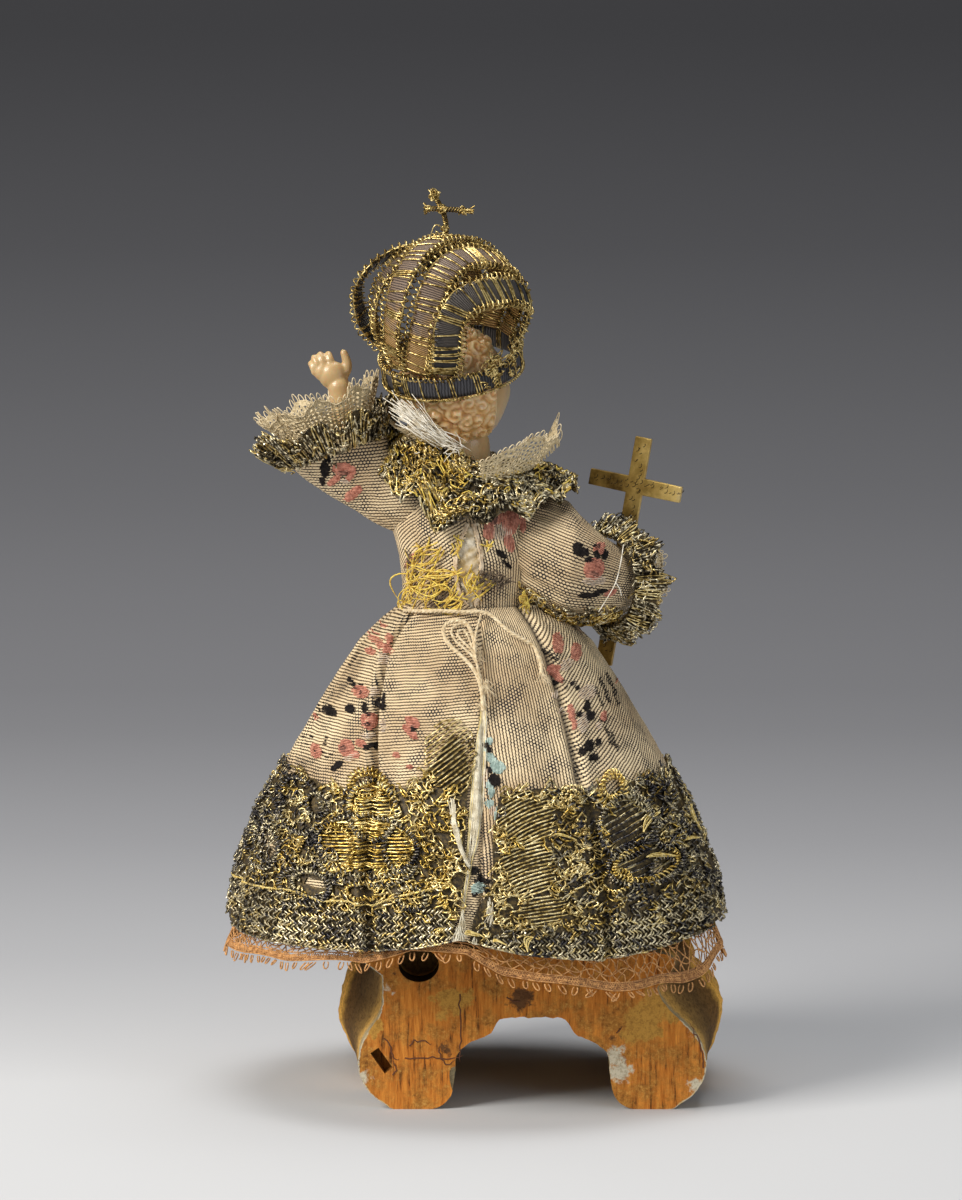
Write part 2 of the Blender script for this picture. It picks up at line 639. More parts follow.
# The front volutes: a rolled gilt spiral on each foot's face
spiral_lines = []
for side in (-1, 1):
    turn = linspace(0, 4.6 * pi, 90)
    radius = 0.6 + 7.4 * turn / turn[-1]
    middle = BASE_CENTRE_X + side * FOOT_SPREAD
    spiral_lines.append(coords(middle + side * radius * cos(turn), np.full(90, BASE_FRONT - 0.2),
                               FOOT_RADIUS + 0.4 + radius * sin(turn)))
gilding, tree, shader = new_material("gilding", roughness=0.38, metallic=1)
wear = noise(tree, object_place(tree), 700, 5)
look(tree, shader, ramp(tree, wear, (0.35, (0.3, 0.13, 0.05)), (0.55, (0.75, 0.52, 0.18))), wear, 0.4)
volutes = threads("front_volutes", spiral_lines, 1.5, gilding, fine=2)

# Ivory child
# The body, head and hair are carved from ivory. The head's curls are cut as spirals and stained in
# their hollows, and the hands and feet are rounded off from the same piece.

HEAD_CENTRE = array([3.8, -1, 134])
HEAD_RADII = array([9.7, 10.2, 11.4])
head_forward = array([-sin(radians(45)), -cos(radians(45)), np.tan(radians(14))])
head_forward = unit(head_forward)
head_left = unit(np.cross([0, 0, 1], head_forward))
head_up = np.cross(head_forward, head_left)
HEAD_AXES = stack([head_left, -head_forward, head_up])


def near(points, spot, size):
    """A soft mark of height 1 at a spot, fading over the given sizes"""
    away = (points - asarray(spot, float)) / asarray(size, float)
    return exp(-(away ** 2).sum(axis=-1))


# How many curls would cover the whole head, and a curl's size as a share of the head's radius
CURL_COUNT = 150
CURL_SIZE = 0.18


def curl_field(ways):
    """Height and stain of the carved hair for directions from the head's middle"""
    turn = arange(CURL_COUNT) * pi * (3 - sqrt(5))
    level = 1 - 2 * (arange(CURL_COUNT) + 0.5) / CURL_COUNT
    flat = sqrt(1 - level ** 2)
    middles = coords(flat * cos(turn), flat * sin(turn), level)
    middles = unit(middles + 0.07 * normal(0, 1, middles.shape))
    closeness = ways @ middles.T
    nearest = closeness.argmax(axis=1)
    middle = middles[nearest]
    east = unit(np.cross(middle, [0.13, 0.21, 0.97]))
    north = np.cross(middle, east)
    right = (ways * east).sum(axis=1)
    top = (ways * north).sum(axis=1)
    away = np.hypot(right, 1.2 * top) / CURL_SIZE
    spin = np.where(nearest % 2 == 0, 1, -1)
    swirl = np.arctan2(top, right) * spin + 7.4 * away + 1.3 * ripple(ways, 0.11)
    lock = 0.5 + 0.5 * cos(swirl)
    ordered = np.sort(closeness, axis=1)
    border = clip((ordered[:, -1] - ordered[:, -2]) / 0.02, 0, 1)
    height = 0.35 + 0.5 * clip(1 - away ** 2, 0, 1) + 0.62 * (lock ** 0.8 - 0.5) * (0.35 + 0.65 * border)
    height *= 0.7 + 0.3 * border
    return height, (1 - lock) * 0.7 + (1 - border) * 0.3


head_bm = bmesh.new()
bmesh.ops.create_uvsphere(head_bm, u_segments=192, v_segments=132, radius=1)
stain_layer = head_bm.verts.layers.float.new("stain")
ways = array([vertex.co[:] for vertex in head_bm.verts])
left, back, up = ways.T
hair_height, hair_stain = curl_field(ways)
front = -back
face = ease(front, 0.28, 0.42) * (1 - ease(up, 0.5, 0.66)) * (1 - ease(np.abs(left), 0.62, 0.78))
ear_and_cheek = ease(front, 0.02, 0.14) * (1 - ease(up, 0.05, 0.2))
bare_skin = np.maximum(face, ear_and_cheek)
bare_skin = np.maximum(bare_skin, ease(-up, 0.72, 0.86) * ease(front, -0.75, -0.5))
shape = ways * HEAD_RADII
shape += ways * ((1 - bare_skin) * hair_height)[:, None]

# The face on a plain oval, as x, height, half width and half height in shares of the head, and how far
# it stands out: brow, then eye hollow, lid, eyebrow and lash line, cheek, nostril, upper lip and corner
# of the mouth on both sides, then nose, bridge, lower lip, mouth, the hollow under it and chin
FACE_FORMS = [
    (0, 0.34, 0.5, 0.1, 0.35), (0.32, 0.12, 0.19, 0.13, -0.95), (0.32, 0.08, 0.12, 0.075, 0.75),
    (0.32, 0.25, 0.18, 0.03, 0.22), (0.32, 0.01, 0.11, 0.02, -0.2), (0.46, -0.26, 0.22, 0.2, 0.75),
    (0.085, -0.17, 0.06, 0.05, 0.4), (0.07, -0.375, 0.09, 0.035, 0.25), (0.2, -0.4, 0.045, 0.045, -0.3),
    (0, -0.13, 0.09, 0.11, 1.5), (0, 0.06, 0.065, 0.16, 0.9), (0, -0.45, 0.1, 0.035, 0.42),
    (0, -0.4, 0.2, 0.1, 0.3), (0, -0.41, 0.15, 0.012, -0.35), (0, -0.54, 0.14, 0.05, -0.3),
    (0, -0.68, 0.18, 0.12, 0.9),
]
relief = np.zeros(len(ways))
spots = coords(left, up)
for x, level, wide, high, raised in FACE_FORMS:
    for middle in {x, -x}:
        relief += raised * near(spots, (middle, level), (wide, high))
shape += ways * (relief * face * ease(front, 0.3, 0.6))[:, None]
move(head_bm.verts, HEAD_CENTRE + shape @ HEAD_AXES)
for vertex, stain in zip(head_bm.verts, (0.15 + 0.85 * hair_stain) * (1 - bare_skin)):
    vertex[stain_layer] = float(clip(stain, 0, 1))


def ellipsoid(bm, centre, radii, segments=28):
    made = bmesh.ops.create_uvsphere(bm, u_segments=segments, v_segments=segments // 2, radius=1)["verts"]
    return set_in(bm, made, centre, radii)


def limb(bm, stations, radii, sides=28, steps=40):
    """A round limb through the stations, whose radius changes along it, closed with domes"""
    line = smooth_line(stations, steps)
    widths = interp(linspace(0, 1, steps), linspace(0, 1, len(radii)), radii)
    ahead = unit(np.gradient(line, axis=0))
    across = unit(np.cross(ahead, [0.05, 0.98, 0.17]))
    away = np.cross(ahead, across)
    reach = distances(line)
    left_over = np.minimum(reach, reach[-1] - reach)
    widths = widths * sqrt(clip(1 - (1 - np.minimum(left_over / (widths + 1e-9), 1)) ** 2, 0.02, 1))
    made = bmesh.ops.create_grid(bm, x_segments=sides, y_segments=steps - 1, size=0.5)["verts"]
    shares = array([vertex.co[:2] for vertex in made]) + 0.5
    turn = (2 * pi * shares[:, 0])[:, None]
    row = np.rint(shares[:, 1] * (steps - 1)).astype(int)
    placed = line[row] + widths[row, None] * (across[row] * cos(turn) + away[row] * sin(turn))
    move(made, placed)
    bmesh.ops.remove_doubles(bm, verts=made, dist=MILLIMETRE / 10000)
    close_ends(bm)


RAISED_ARM = [[10, 0, 112.5], [17, -0.8, 115.5], [22, -1.5, 121.5], [24.6, -1.6, 128]]
LOWERED_ARM = [[-9, 0, 108.5], [-16, 1, 102.5], [-22.5, 1, 98.5], [-26.2, -5, 97.4], [-27.2, -10, 97]]
CROSS_FOOT = array([-24.7, -13.2, 79.2])
CROSS_TOP = array([-32.3, -13.2, 123])
cross_up = unit(CROSS_TOP - CROSS_FOOT)
cross_across = array([-0.93, 0.3, -0.2])
cross_across = unit(cross_across - cross_up * (cross_across @ cross_up))
cross_facing = np.cross(cross_up, cross_across)


def beside_shaft(z, across, in_front):
    """A point beside the cross's shaft at the given height"""
    share = (z - CROSS_FOOT[2]) / (CROSS_TOP[2] - CROSS_FOOT[2])
    return CROSS_FOOT + (CROSS_TOP - CROSS_FOOT) * share + cross_across * across + cross_facing * in_front


body_bm = bmesh.new()
limb(body_bm, RAISED_ARM, [4.4, 4, 3.3, 2.4])
limb(body_bm, LOWERED_ARM, [4.4, 4, 3.5, 2.8, 2.5])
limb(body_bm, [[1.2, -0.4, 76], [1.2, 0, 92], [1.4, 0, 103], [1.6, -0.2, 111], [1.8, -0.4, 117],
               [2.2, -0.5, 128]], [7.9, 8, 9, 8.6, 5, 4.6], sides=40)
for side, x in ((-1, -5.2), (1, 5.6)):
    limb(body_bm, [[x, 0, 84], [x, 0, 68], [x, -0.6, 57], [x, -0.8, 44], [x, -0.6, 32.6]],
         [5.6, 5.2, 4.4, 4.1, 3.1])
    foot = ellipsoid(body_bm, (x, -2.4, 33.2), (3.3, 6.9, 2.8))
    for vertex in foot:
        vertex.co.z = max(vertex.co.z, 30.4 * MILLIMETRE)
    for toe in range(5):
        ellipsoid(body_bm, (x + side * (1.2 * toe - 2.3), -8.2 + 0.35 * toe, 31.7),
                  (0.75 if toe else 1, 1.1, 1.1), 16)

# The raised hand: a chubby palm over a creased wrist, four short fingers that fan out as they bend
# forward and a thumb held apart, smoothed into one surface as the carver's scraper left it
FINGERS = [((30.3, 136.2), (31.4, 138.7), 0.62), ((29.4, 136.8), (30.8, 139.9), 0.72),
           ((28.4, 137.2), (29.6, 140.5), 0.76), ((27.2, 137.4), (28, 140.6), 0.78)]
hand_bm = bmesh.new()
ellipsoid(hand_bm, (26.9, -1.9, 136.2), (2.75, 1.8, 2.7))
ellipsoid(hand_bm, (28.7, -2.1, 136.9), (1.9, 1.4, 1.9))
limb(hand_bm, [[24.4, -1.6, 126.5], [25.2, -1.6, 130.5], [25.8, -1.7, 134], [26.4, -1.8, 136]],
     [2.5, 2.2, 2.1, 2.2])
for (root_x, root_z), (tip_x, tip_z), thickness in FINGERS:
    middle = [(root_x + tip_x) / 2 - 0.1, -2, (root_z + tip_z) / 2 + 0.2]
    limb(hand_bm, [[root_x, -1.9, root_z], middle, [tip_x, -3.1, tip_z]],
         [thickness, thickness, 0.85 * thickness], sides=16, steps=28)
limb(hand_bm, [[25.6, -2, 135.4], [24.3, -2.1, 137.6], [24.5, -2.3, 139.4], [25.2, -2.5, 141.1]],
     [1.2, 1.05, 0.85, 0.62], sides=16, steps=24)


def scraped(name, bm, size, rounds):
    """Solids that cross each other made into one smooth skin"""
    rough = in_scene(name + "_rough", mesh_of(name + "_rough", bm))
    remesh = rough.modifiers.new("fused", "REMESH")
    remesh.mode = "VOXEL"
    remesh.voxel_size = size * MILLIMETRE
    smooth = rough.modifiers.new("smooth", "SMOOTH")
    smooth.factor = 0.5
    smooth.iterations = rounds
    mesh = evaluated(name, rough)
    mesh.shade_smooth()
    return mesh


# The lowered fist, closed round the cross's shaft
palm = beside_shaft(97, -0.4, -2.7)
ellipsoid(body_bm, palm, (3.2, 2.9, 4.1))
for index in range(4):
    z = 94 + 2 * index
    route = [beside_shaft(z, 2.6, -2), beside_shaft(z, 3.4, 0), beside_shaft(z, 1.8, 2.2),
             beside_shaft(z, -1.4, 2)]
    limb(body_bm, route, [1.1, 1.1, 1.05, 0.85], sides=16, steps=24)
thumb = [beside_shaft(98.4, -2.6, -2), beside_shaft(99.6, -3.2, 0.2), beside_shaft(100.6, -0.8, 2.2)]
limb(body_bm, thumb, [1.1, 1.05, 0.8], sides=16, steps=20)
body_bm.verts.layers.float.new("stain")

ivory, tree, shader = new_material("old_ivory", roughness=0.34, Subsurface_Weight=0.25,
                                   Subsurface_Scale=0.0015, Coat_Weight=0.15)
spot = object_place(tree)
vein = noise(tree, spot, 120, 4, distortion=0.6)
skin_tone = ramp(tree, vein, (0.3, (0.48, 0.32, 0.155)), (0.7, (0.7, 0.52, 0.3)))
node(tree, "Attribute", attribute_name="stain")
stained = calc(tree, "MULTIPLY", *outputs_of(tree, "Fac"), vein)
hair_tone = ramp(tree, stained, (0.02, (0.82, 0.77, 0.66)), (0.07, (1.3, 1.3, 1.28)),
                 (0.14, (1.25, 1.23, 1.18)), (0.34, (1, 0.78, 0.48)), (0.52, (0.66, 0.38, 0.16)))
look(tree, shader, mix(tree, 0.95, skin_tone, hair_tone, "MULTIPLY"), noise(tree, spot, 900), 0.12)

child_head = show("child_head", mesh_of("child_head", head_bm), ivory)
child_body = show("child_body", mesh_of("child_body", body_bm), ivory)
child_hand = show("child_raised_hand", scraped("child_raised_hand", hand_bm, 0.24, 3), ivory)
for piece in (child_head, child_body, child_hand):
    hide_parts("child_figure")

# Petticoat lace
# A cotton petticoat's edge of orange-brown bobbin lace: an open net above, a plaited band and a row of
# looped picots below. It is gathered under the hem and flares where it was pressed out of shape.

LACE_TOP = 32.4
# How far the hem is caught up, and the height of the picots' tips, at angles in degrees from straight
# back towards the raised hand
HEM_CAUGHT_UP = [(-180, 1.2), (-100, 1.4), (-75, 2.4), (-56, 1.6), (-30, -0.2), (-10, 2.2), (3.6, 5),
                 (13, 3.2), (24, 2.2), (36, 1.8), (55, 1.4), (180, 1.2)]
PICOT_TIPS = [(-180, 26), (-100, 25.6), (-78, 26.2), (-56, 22.8), (-33, 23.9), (-14, 26.4), (-6, 28),
              (2, 31.8), (15, 32.2), (27, 29.2), (44, 28.5), (80, 26), (180, 26)]


def by_angle(table, angle):
    """A value from a table of angles in degrees, the whole way round"""
    places, values = array(table, float).T
    return interp((np.degrees(angle) + 180) % 360 - 180, places, values)


def lace_height(angle):
    """The depth of the lace that hangs below the place where it is sewn on"""
    return LACE_TOP + by_angle(HEM_CAUGHT_UP, angle) - by_angle(PICOT_TIPS, angle)


def round_petticoat(angle, above):
    """A point of the lace, a number of millimetres above its picots' tips"""
    angle = asarray(angle, float)
    drop = clip(1 - above / lace_height(angle), 0, 1)
    sway = 0.8 * sin(9 * angle) + 0.6 * sin(17 * angle + 1)
    flare = drop * (1.9 + sway + 1.1 * np.maximum(sin(-angle), 0)) - 1.0
    z = by_angle(PICOT_TIPS, angle) + above + 0.35 * drop * sin(13 * angle)
    return coords((46 + flare) * sin(angle), (41.8 + flare) * cos(angle), z)


def lace_colours(name, dark, light, metallic=0, roughness=0.7, scale=900, specular=0.5):
    """Thread whose colour breaks up along it"""
    material, tree, shader = new_material(name, roughness=roughness, metallic=metallic,
                                          Specular_IOR_Level=specular)
    spot = object_place(tree)
    tone = noise(tree, spot, scale, 3, roughness=0.7)
    look(tree, shader, ramp(tree, tone, (0.36, dark), (0.62, light)), tone)
    return material


orange_thread = lace_colours("orange_brown_thread", (0.3, 0.125, 0.035), (0.72, 0.37, 0.13), scale=1100)
BAND_LOW, BAND_HIGH = 1.5, 2.9


def petticoat_skin(u, v):
    """The lace's cloth, whose last rows are the plaited band above the picots"""
    angle = 2 * pi * u
    return round_petticoat(angle, BAND_LOW + (lace_height(angle) - BAND_LOW) * (1 - v))


BAND_COLUMNS = 640
band_bm = skin(BAND_COLUMNS, 10, petticoat_skin)
holes = [face for index, face in enumerate(band_bm.faces) if 2 <= index // BAND_COLUMNS < 8]
bmesh.ops.delete(band_bm, geom=holes, context="FACES")
weld(band_bm)
orange_cloth = lace_colours("orange_brown_cloth", (0.13, 0.05, 0.015), (0.4, 0.18, 0.055), scale=1400)
petticoat_ground = show("petticoat_lace_ground", mesh_of("petticoat_lace_ground", band_bm), orange_cloth)

turns = linspace(0, 2 * pi, 600)
BAND_CORDS = (BAND_LOW, 0.5 * (BAND_LOW + BAND_HIGH), BAND_HIGH)
petticoat_lines = [round_petticoat(turns, above) for above in BAND_CORDS]
for strand in range(3):
    weave = 2 * pi * strand / 3
    petticoat_lines.append(round_petticoat(turns, 2.2 + 0.6 * sin(190 * turns + weave)) + 0.16
                           * sin(95 * turns + weave)[:, None] * [0, 0, 1])
NET_CELLS = 124
for cell in range(NET_CELLS):
    for lean in (-1, 1):
        climb = linspace(0, 1, 6)
        angle = 2 * pi * (cell + lean * climb * 2.1 + 0.2 * normal(0, 1, 6)) / NET_CELLS
        net = round_petticoat(angle, BAND_HIGH + (lace_height(angle) - BAND_HIGH) * climb)
        petticoat_lines.append(net + 0.1 * normal(0, 1, (6, 3)))
for level in (0.3, 0.72):
    rope = BAND_HIGH + (lace_height(turns) - BAND_HIGH) * (level + 0.1 * sin(41 * turns + 9 * level))
    petticoat_lines.append(round_petticoat(turns, rope))
petticoat_net = threads("petticoat_lace_net", petticoat_lines, 0.26, orange_thread)
picots = []
PICOT_COUNT = 128
for index in range(PICOT_COUNT):
    middle = 2 * pi * (index + 0.3 * uniform(-1, 1)) / PICOT_COUNT
    swing = linspace(-1.25 * pi, 0.25 * pi, 10) + pi
    size = uniform(0.6, 0.95)
    angle = middle + 0.0125 * size * cos(swing) + 0.012 * normal() * (1 + sin(swing))
    picots.append(round_petticoat(angle, BAND_LOW - 1.1 * size - 0.1 - size * sin(swing)))
petticoat_picots = threads("petticoat_lace_picots", picots, 0.3, orange_thread)
for piece in (petticoat_ground, petticoat_net, petticoat_picots):
    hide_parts("petticoat_lace")

# Gown skirt
# Silk brocade with ribs of silvery silk and dark dots between them, brocaded with coral flowers and
# black sprigs. The panels are cut with their ribs in different directions, sewn along folds and left
# open in a slit at the back, whose selvages show.

# Each fold: its angle at the waist, middle and hem from straight back, then its width and depth
FOLDS = [
    (-4, -2, -1.2, 0.7, 0.9), (54, 30.5, 24, 1.25, 3.4), (88, 78, 74, 2.6, 1.3), (128, 124, 120, 2.6, 2.2),
    (172, 168, 164, 2.6, 2.2), (212, 209, 206, 2.6, 2.2), (262, 256, 252, 2.6, 1.6),
    (321, 327, 328, 1.6, 1.8),
]


def fold_angles(z):
    """The angle of each fold at each height, one row a fold, as degrees"""
    fall = fall_from_waist(z)
    waist, middle, hem = (array([fold[i] for fold in FOLDS], float)[:, None] for i in range(3))
    upper = waist + (middle - waist) * clip(fall / 0.5, 0, 1)
    return upper + (hem - middle) * clip((fall - 0.5) / 0.5, 0, 1)


def skirt_lift(angle, z):
    """How far the cloth stands out from the plain cone"""
    angle = np.degrees(asarray(angle, float)).ravel()
    z = np.broadcast_to(asarray(z, float), angle.shape).ravel()
    fall = fall_from_waist(z)
    deep = np.minimum(1, 0.5 + 0.75 * fall)
    folds = fold_angles(z)
    widths = array([fold[3] for fold in FOLDS])[:, None]
    depths = array([fold[4] for fold in FOLDS])[:, None]
    half = np.degrees(widths / skirt_radius(z))
    away = (angle - folds + 180) % 360 - 180
    inside = np.abs(away) / half
    valley = clip(1 - inside, 0, 1) ** 1.3
    ridge = exp(-((inside - 1.25) / 0.9) ** 2)
    lift = (depths * (-0.95 * valley + 0.3 * ridge)).sum(axis=0)
    belly = 0.3 * depths.mean() * np.minimum(1, inside.min(axis=0) / 6)
    crease = 0.16 * ripple(coords(angle / 3.2, z / 2.5, z * 0), 1)
    return (lift + belly + crease) * deep


CAUGHT_BELOW = 57.0


def hem_rise(angle, z):
    """How far the cloth at a height is caught up with the hem"""
    return by_angle(HEM_CAUGHT_UP, angle) * clip((CAUGHT_BELOW - z) / (CAUGHT_BELOW - HEM), 0, 1)


def skirt(angle, z, out=0):
    """A point on the gown's skirt, at an angle from straight back towards +X, and out from its cloth"""
    angle = asarray(angle, float)
    z = np.broadcast_to(asarray(z, float), angle.shape)
    lift = skirt_lift(angle, z).reshape(angle.shape) + out
    radius = skirt_radius(z)
    depth = radius * depth_share(z)
    return coords((radius + lift) * sin(angle), (depth + lift) * cos(angle), z + hem_rise(angle, z))


def angle_at(x, z):
    """The angle on the back of the skirt where it is x across"""
    x = asarray(x, float)
    z = np.broadcast_to(asarray(z, float), x.shape)
    angle = np.arcsin(clip(x / skirt_radius(z), -0.995, 0.995))
    for _ in range(4):
        reach = skirt_radius(z) + skirt_lift(angle, z).reshape(x.shape)
        angle = 0.5 * angle + 0.5 * np.arcsin(clip(x / reach, -0.995, 0.995))
    return angle


def on_back(x, z, out=0):
    """The point of the back of the skirt that lies x across and z high"""
    angle = angle_at(x, z)
    caught = by_angle(HEM_CAUGHT_UP, angle) / (CAUGHT_BELOW - HEM)
    level = np.where(z < CAUGHT_BELOW, (z - CAUGHT_BELOW * caught) / (1 - caught), z)
    return skirt(angle, np.maximum(level, HEM + 0.2), out)


# The middle of each panel after its fold, and the direction of its ribs, in degrees from level
PANEL_RIBS = [(14, -6), (50, 0), (100, 0), (145, 90), (188, 90), (232, 90), (290, -28), (341, 90)]


def turned(points, degrees):
    """Points of the weave seen from threads that run at an angle"""
    turn = radians(degrees)
    across, level = points.T
    return coords(across * cos(turn) + level * sin(turn), level * cos(turn) - across * sin(turn))


def weave_place(angles, levels):
    """The weave's place, in millimetres, at the corners of cloth between two folds"""
    middle = angles.mean()
    folds = fold_angles(array([levels.mean()]))[:, 0]
    panel = int(((middle - folds) % 360).argmin())
    centre, rib_turn = PANEL_RIBS[panel]
    across = radians(angles - centre) * (0.5 * skirt_radius(levels) + 15)
    return turned(coords(across, levels * 1.1), rib_turn)


brocade, tree, shader = new_material("silk_brocade", roughness=0.62, Specular_IOR_Level=0.25)
node(tree, "SeparateXYZ", {0: node(tree, "UVMap", uv_map="weave")})
along, over = outputs_of(tree, "X", "Y")
spot = object_place(tree)
wander = noise(tree, spot, 260, 2)
rib = calc(tree, "DIVIDE", calc(tree, "ADD", over, calc(tree, "MULTIPLY", wander, 0.5)), 0.58)
rib_line = calc(tree, "ABSOLUTE", calc(tree, "SINE", calc(tree, "MULTIPLY", rib, pi)))
stagger = calc(tree, "MULTIPLY", calc(tree, "FLOOR", rib), 0.5)
stitch = calc(tree, "SINE",
              calc(tree, "MULTIPLY", calc(tree, "ADD", calc(tree, "DIVIDE", along, 0.66), stagger), 2 * pi))
zone = noise(tree, spot, 190, 3, roughness=0.78)
dots = calc(tree, "ADD", calc(tree, "MULTIPLY", stitch, 0.42), calc(tree, "MULTIPLY", zone, 1.9))
dots = calc(tree, "SUBTRACT", dots, rib_line)
silk = ramp(tree, rib_line, (0.15, (0.24, 0.155, 0.075)), (0.5, (0.56, 0.42, 0.245)),
            (0.85, (0.88, 0.71, 0.46)))
dull = noise(tree, spot, 75, 3)
silk = mix(tree, 0.8, silk, ramp(tree, dull, (0.35, (0.62, 0.54, 0.46)), (0.6, (1, 0.985, 0.95))),
           "MULTIPLY")
tone = mix(tree, span(tree, dots, 0.4, 0.54), silk, (0.022, 0.018, 0.018, 1))
node(tree, "Attribute", attribute_name="seam")
tone = mix(tree, calc(tree, "MULTIPLY", *outputs_of(tree, "Fac"), 0.85), tone, (0.03, 0.02, 0.016, 1))
look(tree, shader, tone, calc(tree, "ADD", rib_line, calc(tree, "MULTIPLY", stitch, 0.25)), 0.8, 0.00012)


def map_weave(bm, weave_at):
    """Sets the weave's place at the corners of each face of a piece of brocade"""
    layer = bm.loops.layers.uv["weave"]
    for face in bm.faces:
        corners = [loop.vert.index for loop in face.loops]
        for loop, spot in zip(face.loops, weave_at(corners)):
            loop[layer].uv = spot


# The skirt is one ring of cloth whose edges meet at the slit, with finer cloth where it shows
column_angles = np.concatenate([linspace(-1.3, 92, 150), linspace(94, 264, 76), linspace(266, 358.7, 146)])
row_levels = np.concatenate([linspace(HEM, 57, 16), linspace(58, WAIST, 64)])
skirt_bm, shares = grid(len(column_angles) - 1, len(row_levels) - 1, "weave")
angles = interp(shares[0], linspace(0, 1, len(column_angles)), column_angles)
levels = interp(shares[1], linspace(0, 1, len(row_levels)), row_levels)
move(skirt_bm.verts, skirt(radians(angles), levels))
map_weave(skirt_bm, lambda corners: weave_place(angles[corners], levels[corners]))
weld(skirt_bm)
skirt_mesh = mesh_of("gown_skirt", skirt_bm)
spots = np.empty(len(skirt_mesh.vertices) * 3)
skirt_mesh.vertices.foreach_get("co", spots)
x, y, z = (spots.reshape(-1, 3) / MILLIMETRE - LAYOUT_SHIFT).T
seam_angles = fold_angles(z)[[1, 7]]
away = (np.degrees(np.arctan2(x, y / depth_share(z))) - seam_angles + 180) % 360 - 180
dirt = exp(-(radians(away) * skirt_radius(z) / 0.42) ** 2).max(axis=0)
skirt_mesh.attributes.new("seam", "FLOAT", "POINT").data.foreach_set("value", dirt)
gown_skirt = show("gown_skirt", skirt_mesh, brocade)
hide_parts("gown")

# The slit's selvage: a band of pale silk on its -X edge, which ends in strings and a spray of loose silk
SELVAGE_LINE = array([[80.2, -1.6, 0.15], [74.2, -1.5, 0.6], [65.8, -0.7, 1.2], [59.4, -0.3, 1.2],
                      [53.1, 0.4, 1], [49.7, 1, 0.5], [44.6, 1.7, 0.3], [36.8, 2.9, 0.25]])
# Tufts that have come loose from it, as x, height and drop
LOOSE_TUFTS = [(2.2, 41.5, 5), (2.6, 38.5, 4), (-2.6, 43.5, 4), (3.2, 37, 2.5), (0.2, 36.4, 2)]
selvage_lines = []
yellow_strings = []
for strand in range(22):
    across = 2 * strand / 21 - 1
    low = 36.5 if strand % 6 == 0 else uniform(48, 55)
    z = linspace(uniform(77.5, 80), low, 30)
    middle, half = (interp(-z, -SELVAGE_LINE[:, 0], SELVAGE_LINE[:, i]) for i in (1, 2))
    x = middle - across * half + 0.05 * sin(z * uniform(0.5, 1.1) + strand)
    line = on_back(x, z, 0.2 + 0.22 * cos(across * 1.4))
    (yellow_strings if strand in (0, 3, 18) else selvage_lines).append(line)
for _ in range(46):
    t = linspace(0, 1, 12)
    start = normal(0, 0.35)
    bend = interp(t, (0, 0.45, 1), (0, normal(0.1, 0.25), normal(0, 0.15)))
    x = interp(t, (0, 0.4, 0.75, 1), (4 + start, 3.4, 2.5, 1.2)) + bend
    z = interp(t, (0, 0.4, 0.75, 1), (uniform(56, 61), 56, 52, 49.2))
    selvage_lines.append(on_back(x, z, 1.2 + 0.5 * sin(pi * t) * random()))
for x, z, drop in LOOSE_TUFTS:
    for _ in range(16):
        fall = linspace(0, 1, 9)
        lean = normal(0, 0.12)
        tuft_x = x + normal(0, 0.3) + lean * drop * fall + 0.35 * sin(fall * 5 + uniform(0, 6)) * fall
        tuft_z = z + uniform(-1.5, 0.5) - drop * fall * uniform(0.6, 1)
        selvage_lines.append(on_back(tuft_x, tuft_z, 1 + 0.5 * random()))
selvage_silk = lace_colours("selvage_silk", (0.5, 0.42, 0.27), (0.8, 0.74, 0.58), scale=500)
old_yellow = lace_colours("old_yellow_silk", (0.55, 0.4, 0.1), (0.86, 0.72, 0.36), scale=700)
selvage = threads("slit_selvage", selvage_lines, 0.17, selvage_silk, taper=True)
yellow_selvage = threads("slit_selvage_yellow", yellow_strings, 0.2, old_yellow)

# Gown bodice and sleeves
# The bodice and its two gathered sleeves are cut from the same brocade. The bodice is torn open down
# the back, where cotton padding and the frayed yellow and brown silk of its lining come out.

# The bodice at rising levels: height, half width, half depth and middle x
BODICE_RINGS = array([
    [92.3, 12.4, 10.3, 0.9], [97, 13.1, 10.7, 0.7], [102, 13.9, 10.9, 0.5], [108, 14.4, 10.8, 1.6],
    [113, 13.6, 10, 1.8], [116.5, 10.2, 8.4, 1.2], [119, 7, 6.8, 0.6],
])
OPENING_EDGES = ((6.2, 100.5), (-2.6, 100.5))
OPENING_LOW = (0.6, 93)
OPENING_HIGH = (0.8, 110)
SLEEVE_TABLE = {
    "raised": [
        ((6, 0, 112), (0.95, 0, 0.3), 7.2), ((13.5, -0.4, 114), (0.88, 0, 0.45), 7.5),
        ((19.2, -1, 117.4), (0.74, 0, 0.68), 7.6), ((23.8, -1.3, 120.6), (0.5, 0, 0.87), 8.9),
        ((26.9, -1.5, 124), (0.34, -0.05, 0.94), 10.2),
    ],
    "lowered": [
        ((-6, 0, 107), (-0.9, 0, -0.3), 8.6), ((-14.5, 0.6, 102.4), (-0.92, 0, -0.3), 10.4),
        ((-19.8, 0.6, 99.6), (-0.96, -0.15, -0.12), 11.2), ((-23.5, -1.6, 97.8), (-0.85, -0.5, 0), 8.8),
        ((-26.2, -3.6, 97), (-0.62, -0.78, 0), 6.4),
    ],
}


def bodice(angle, z, out=0):
    """A point of the bodice at an angle from straight back towards +X"""
    levels, across, deep, middle = BODICE_RINGS.T
    angle = asarray(angle, float)
    z = np.broadcast_to(asarray(z, float), angle.shape)
    x = interp(z, levels, middle) + (interp(z, levels, across) + out) * sin(angle)
    return coords(x, (interp(z, levels, deep) + out) * cos(angle), z)


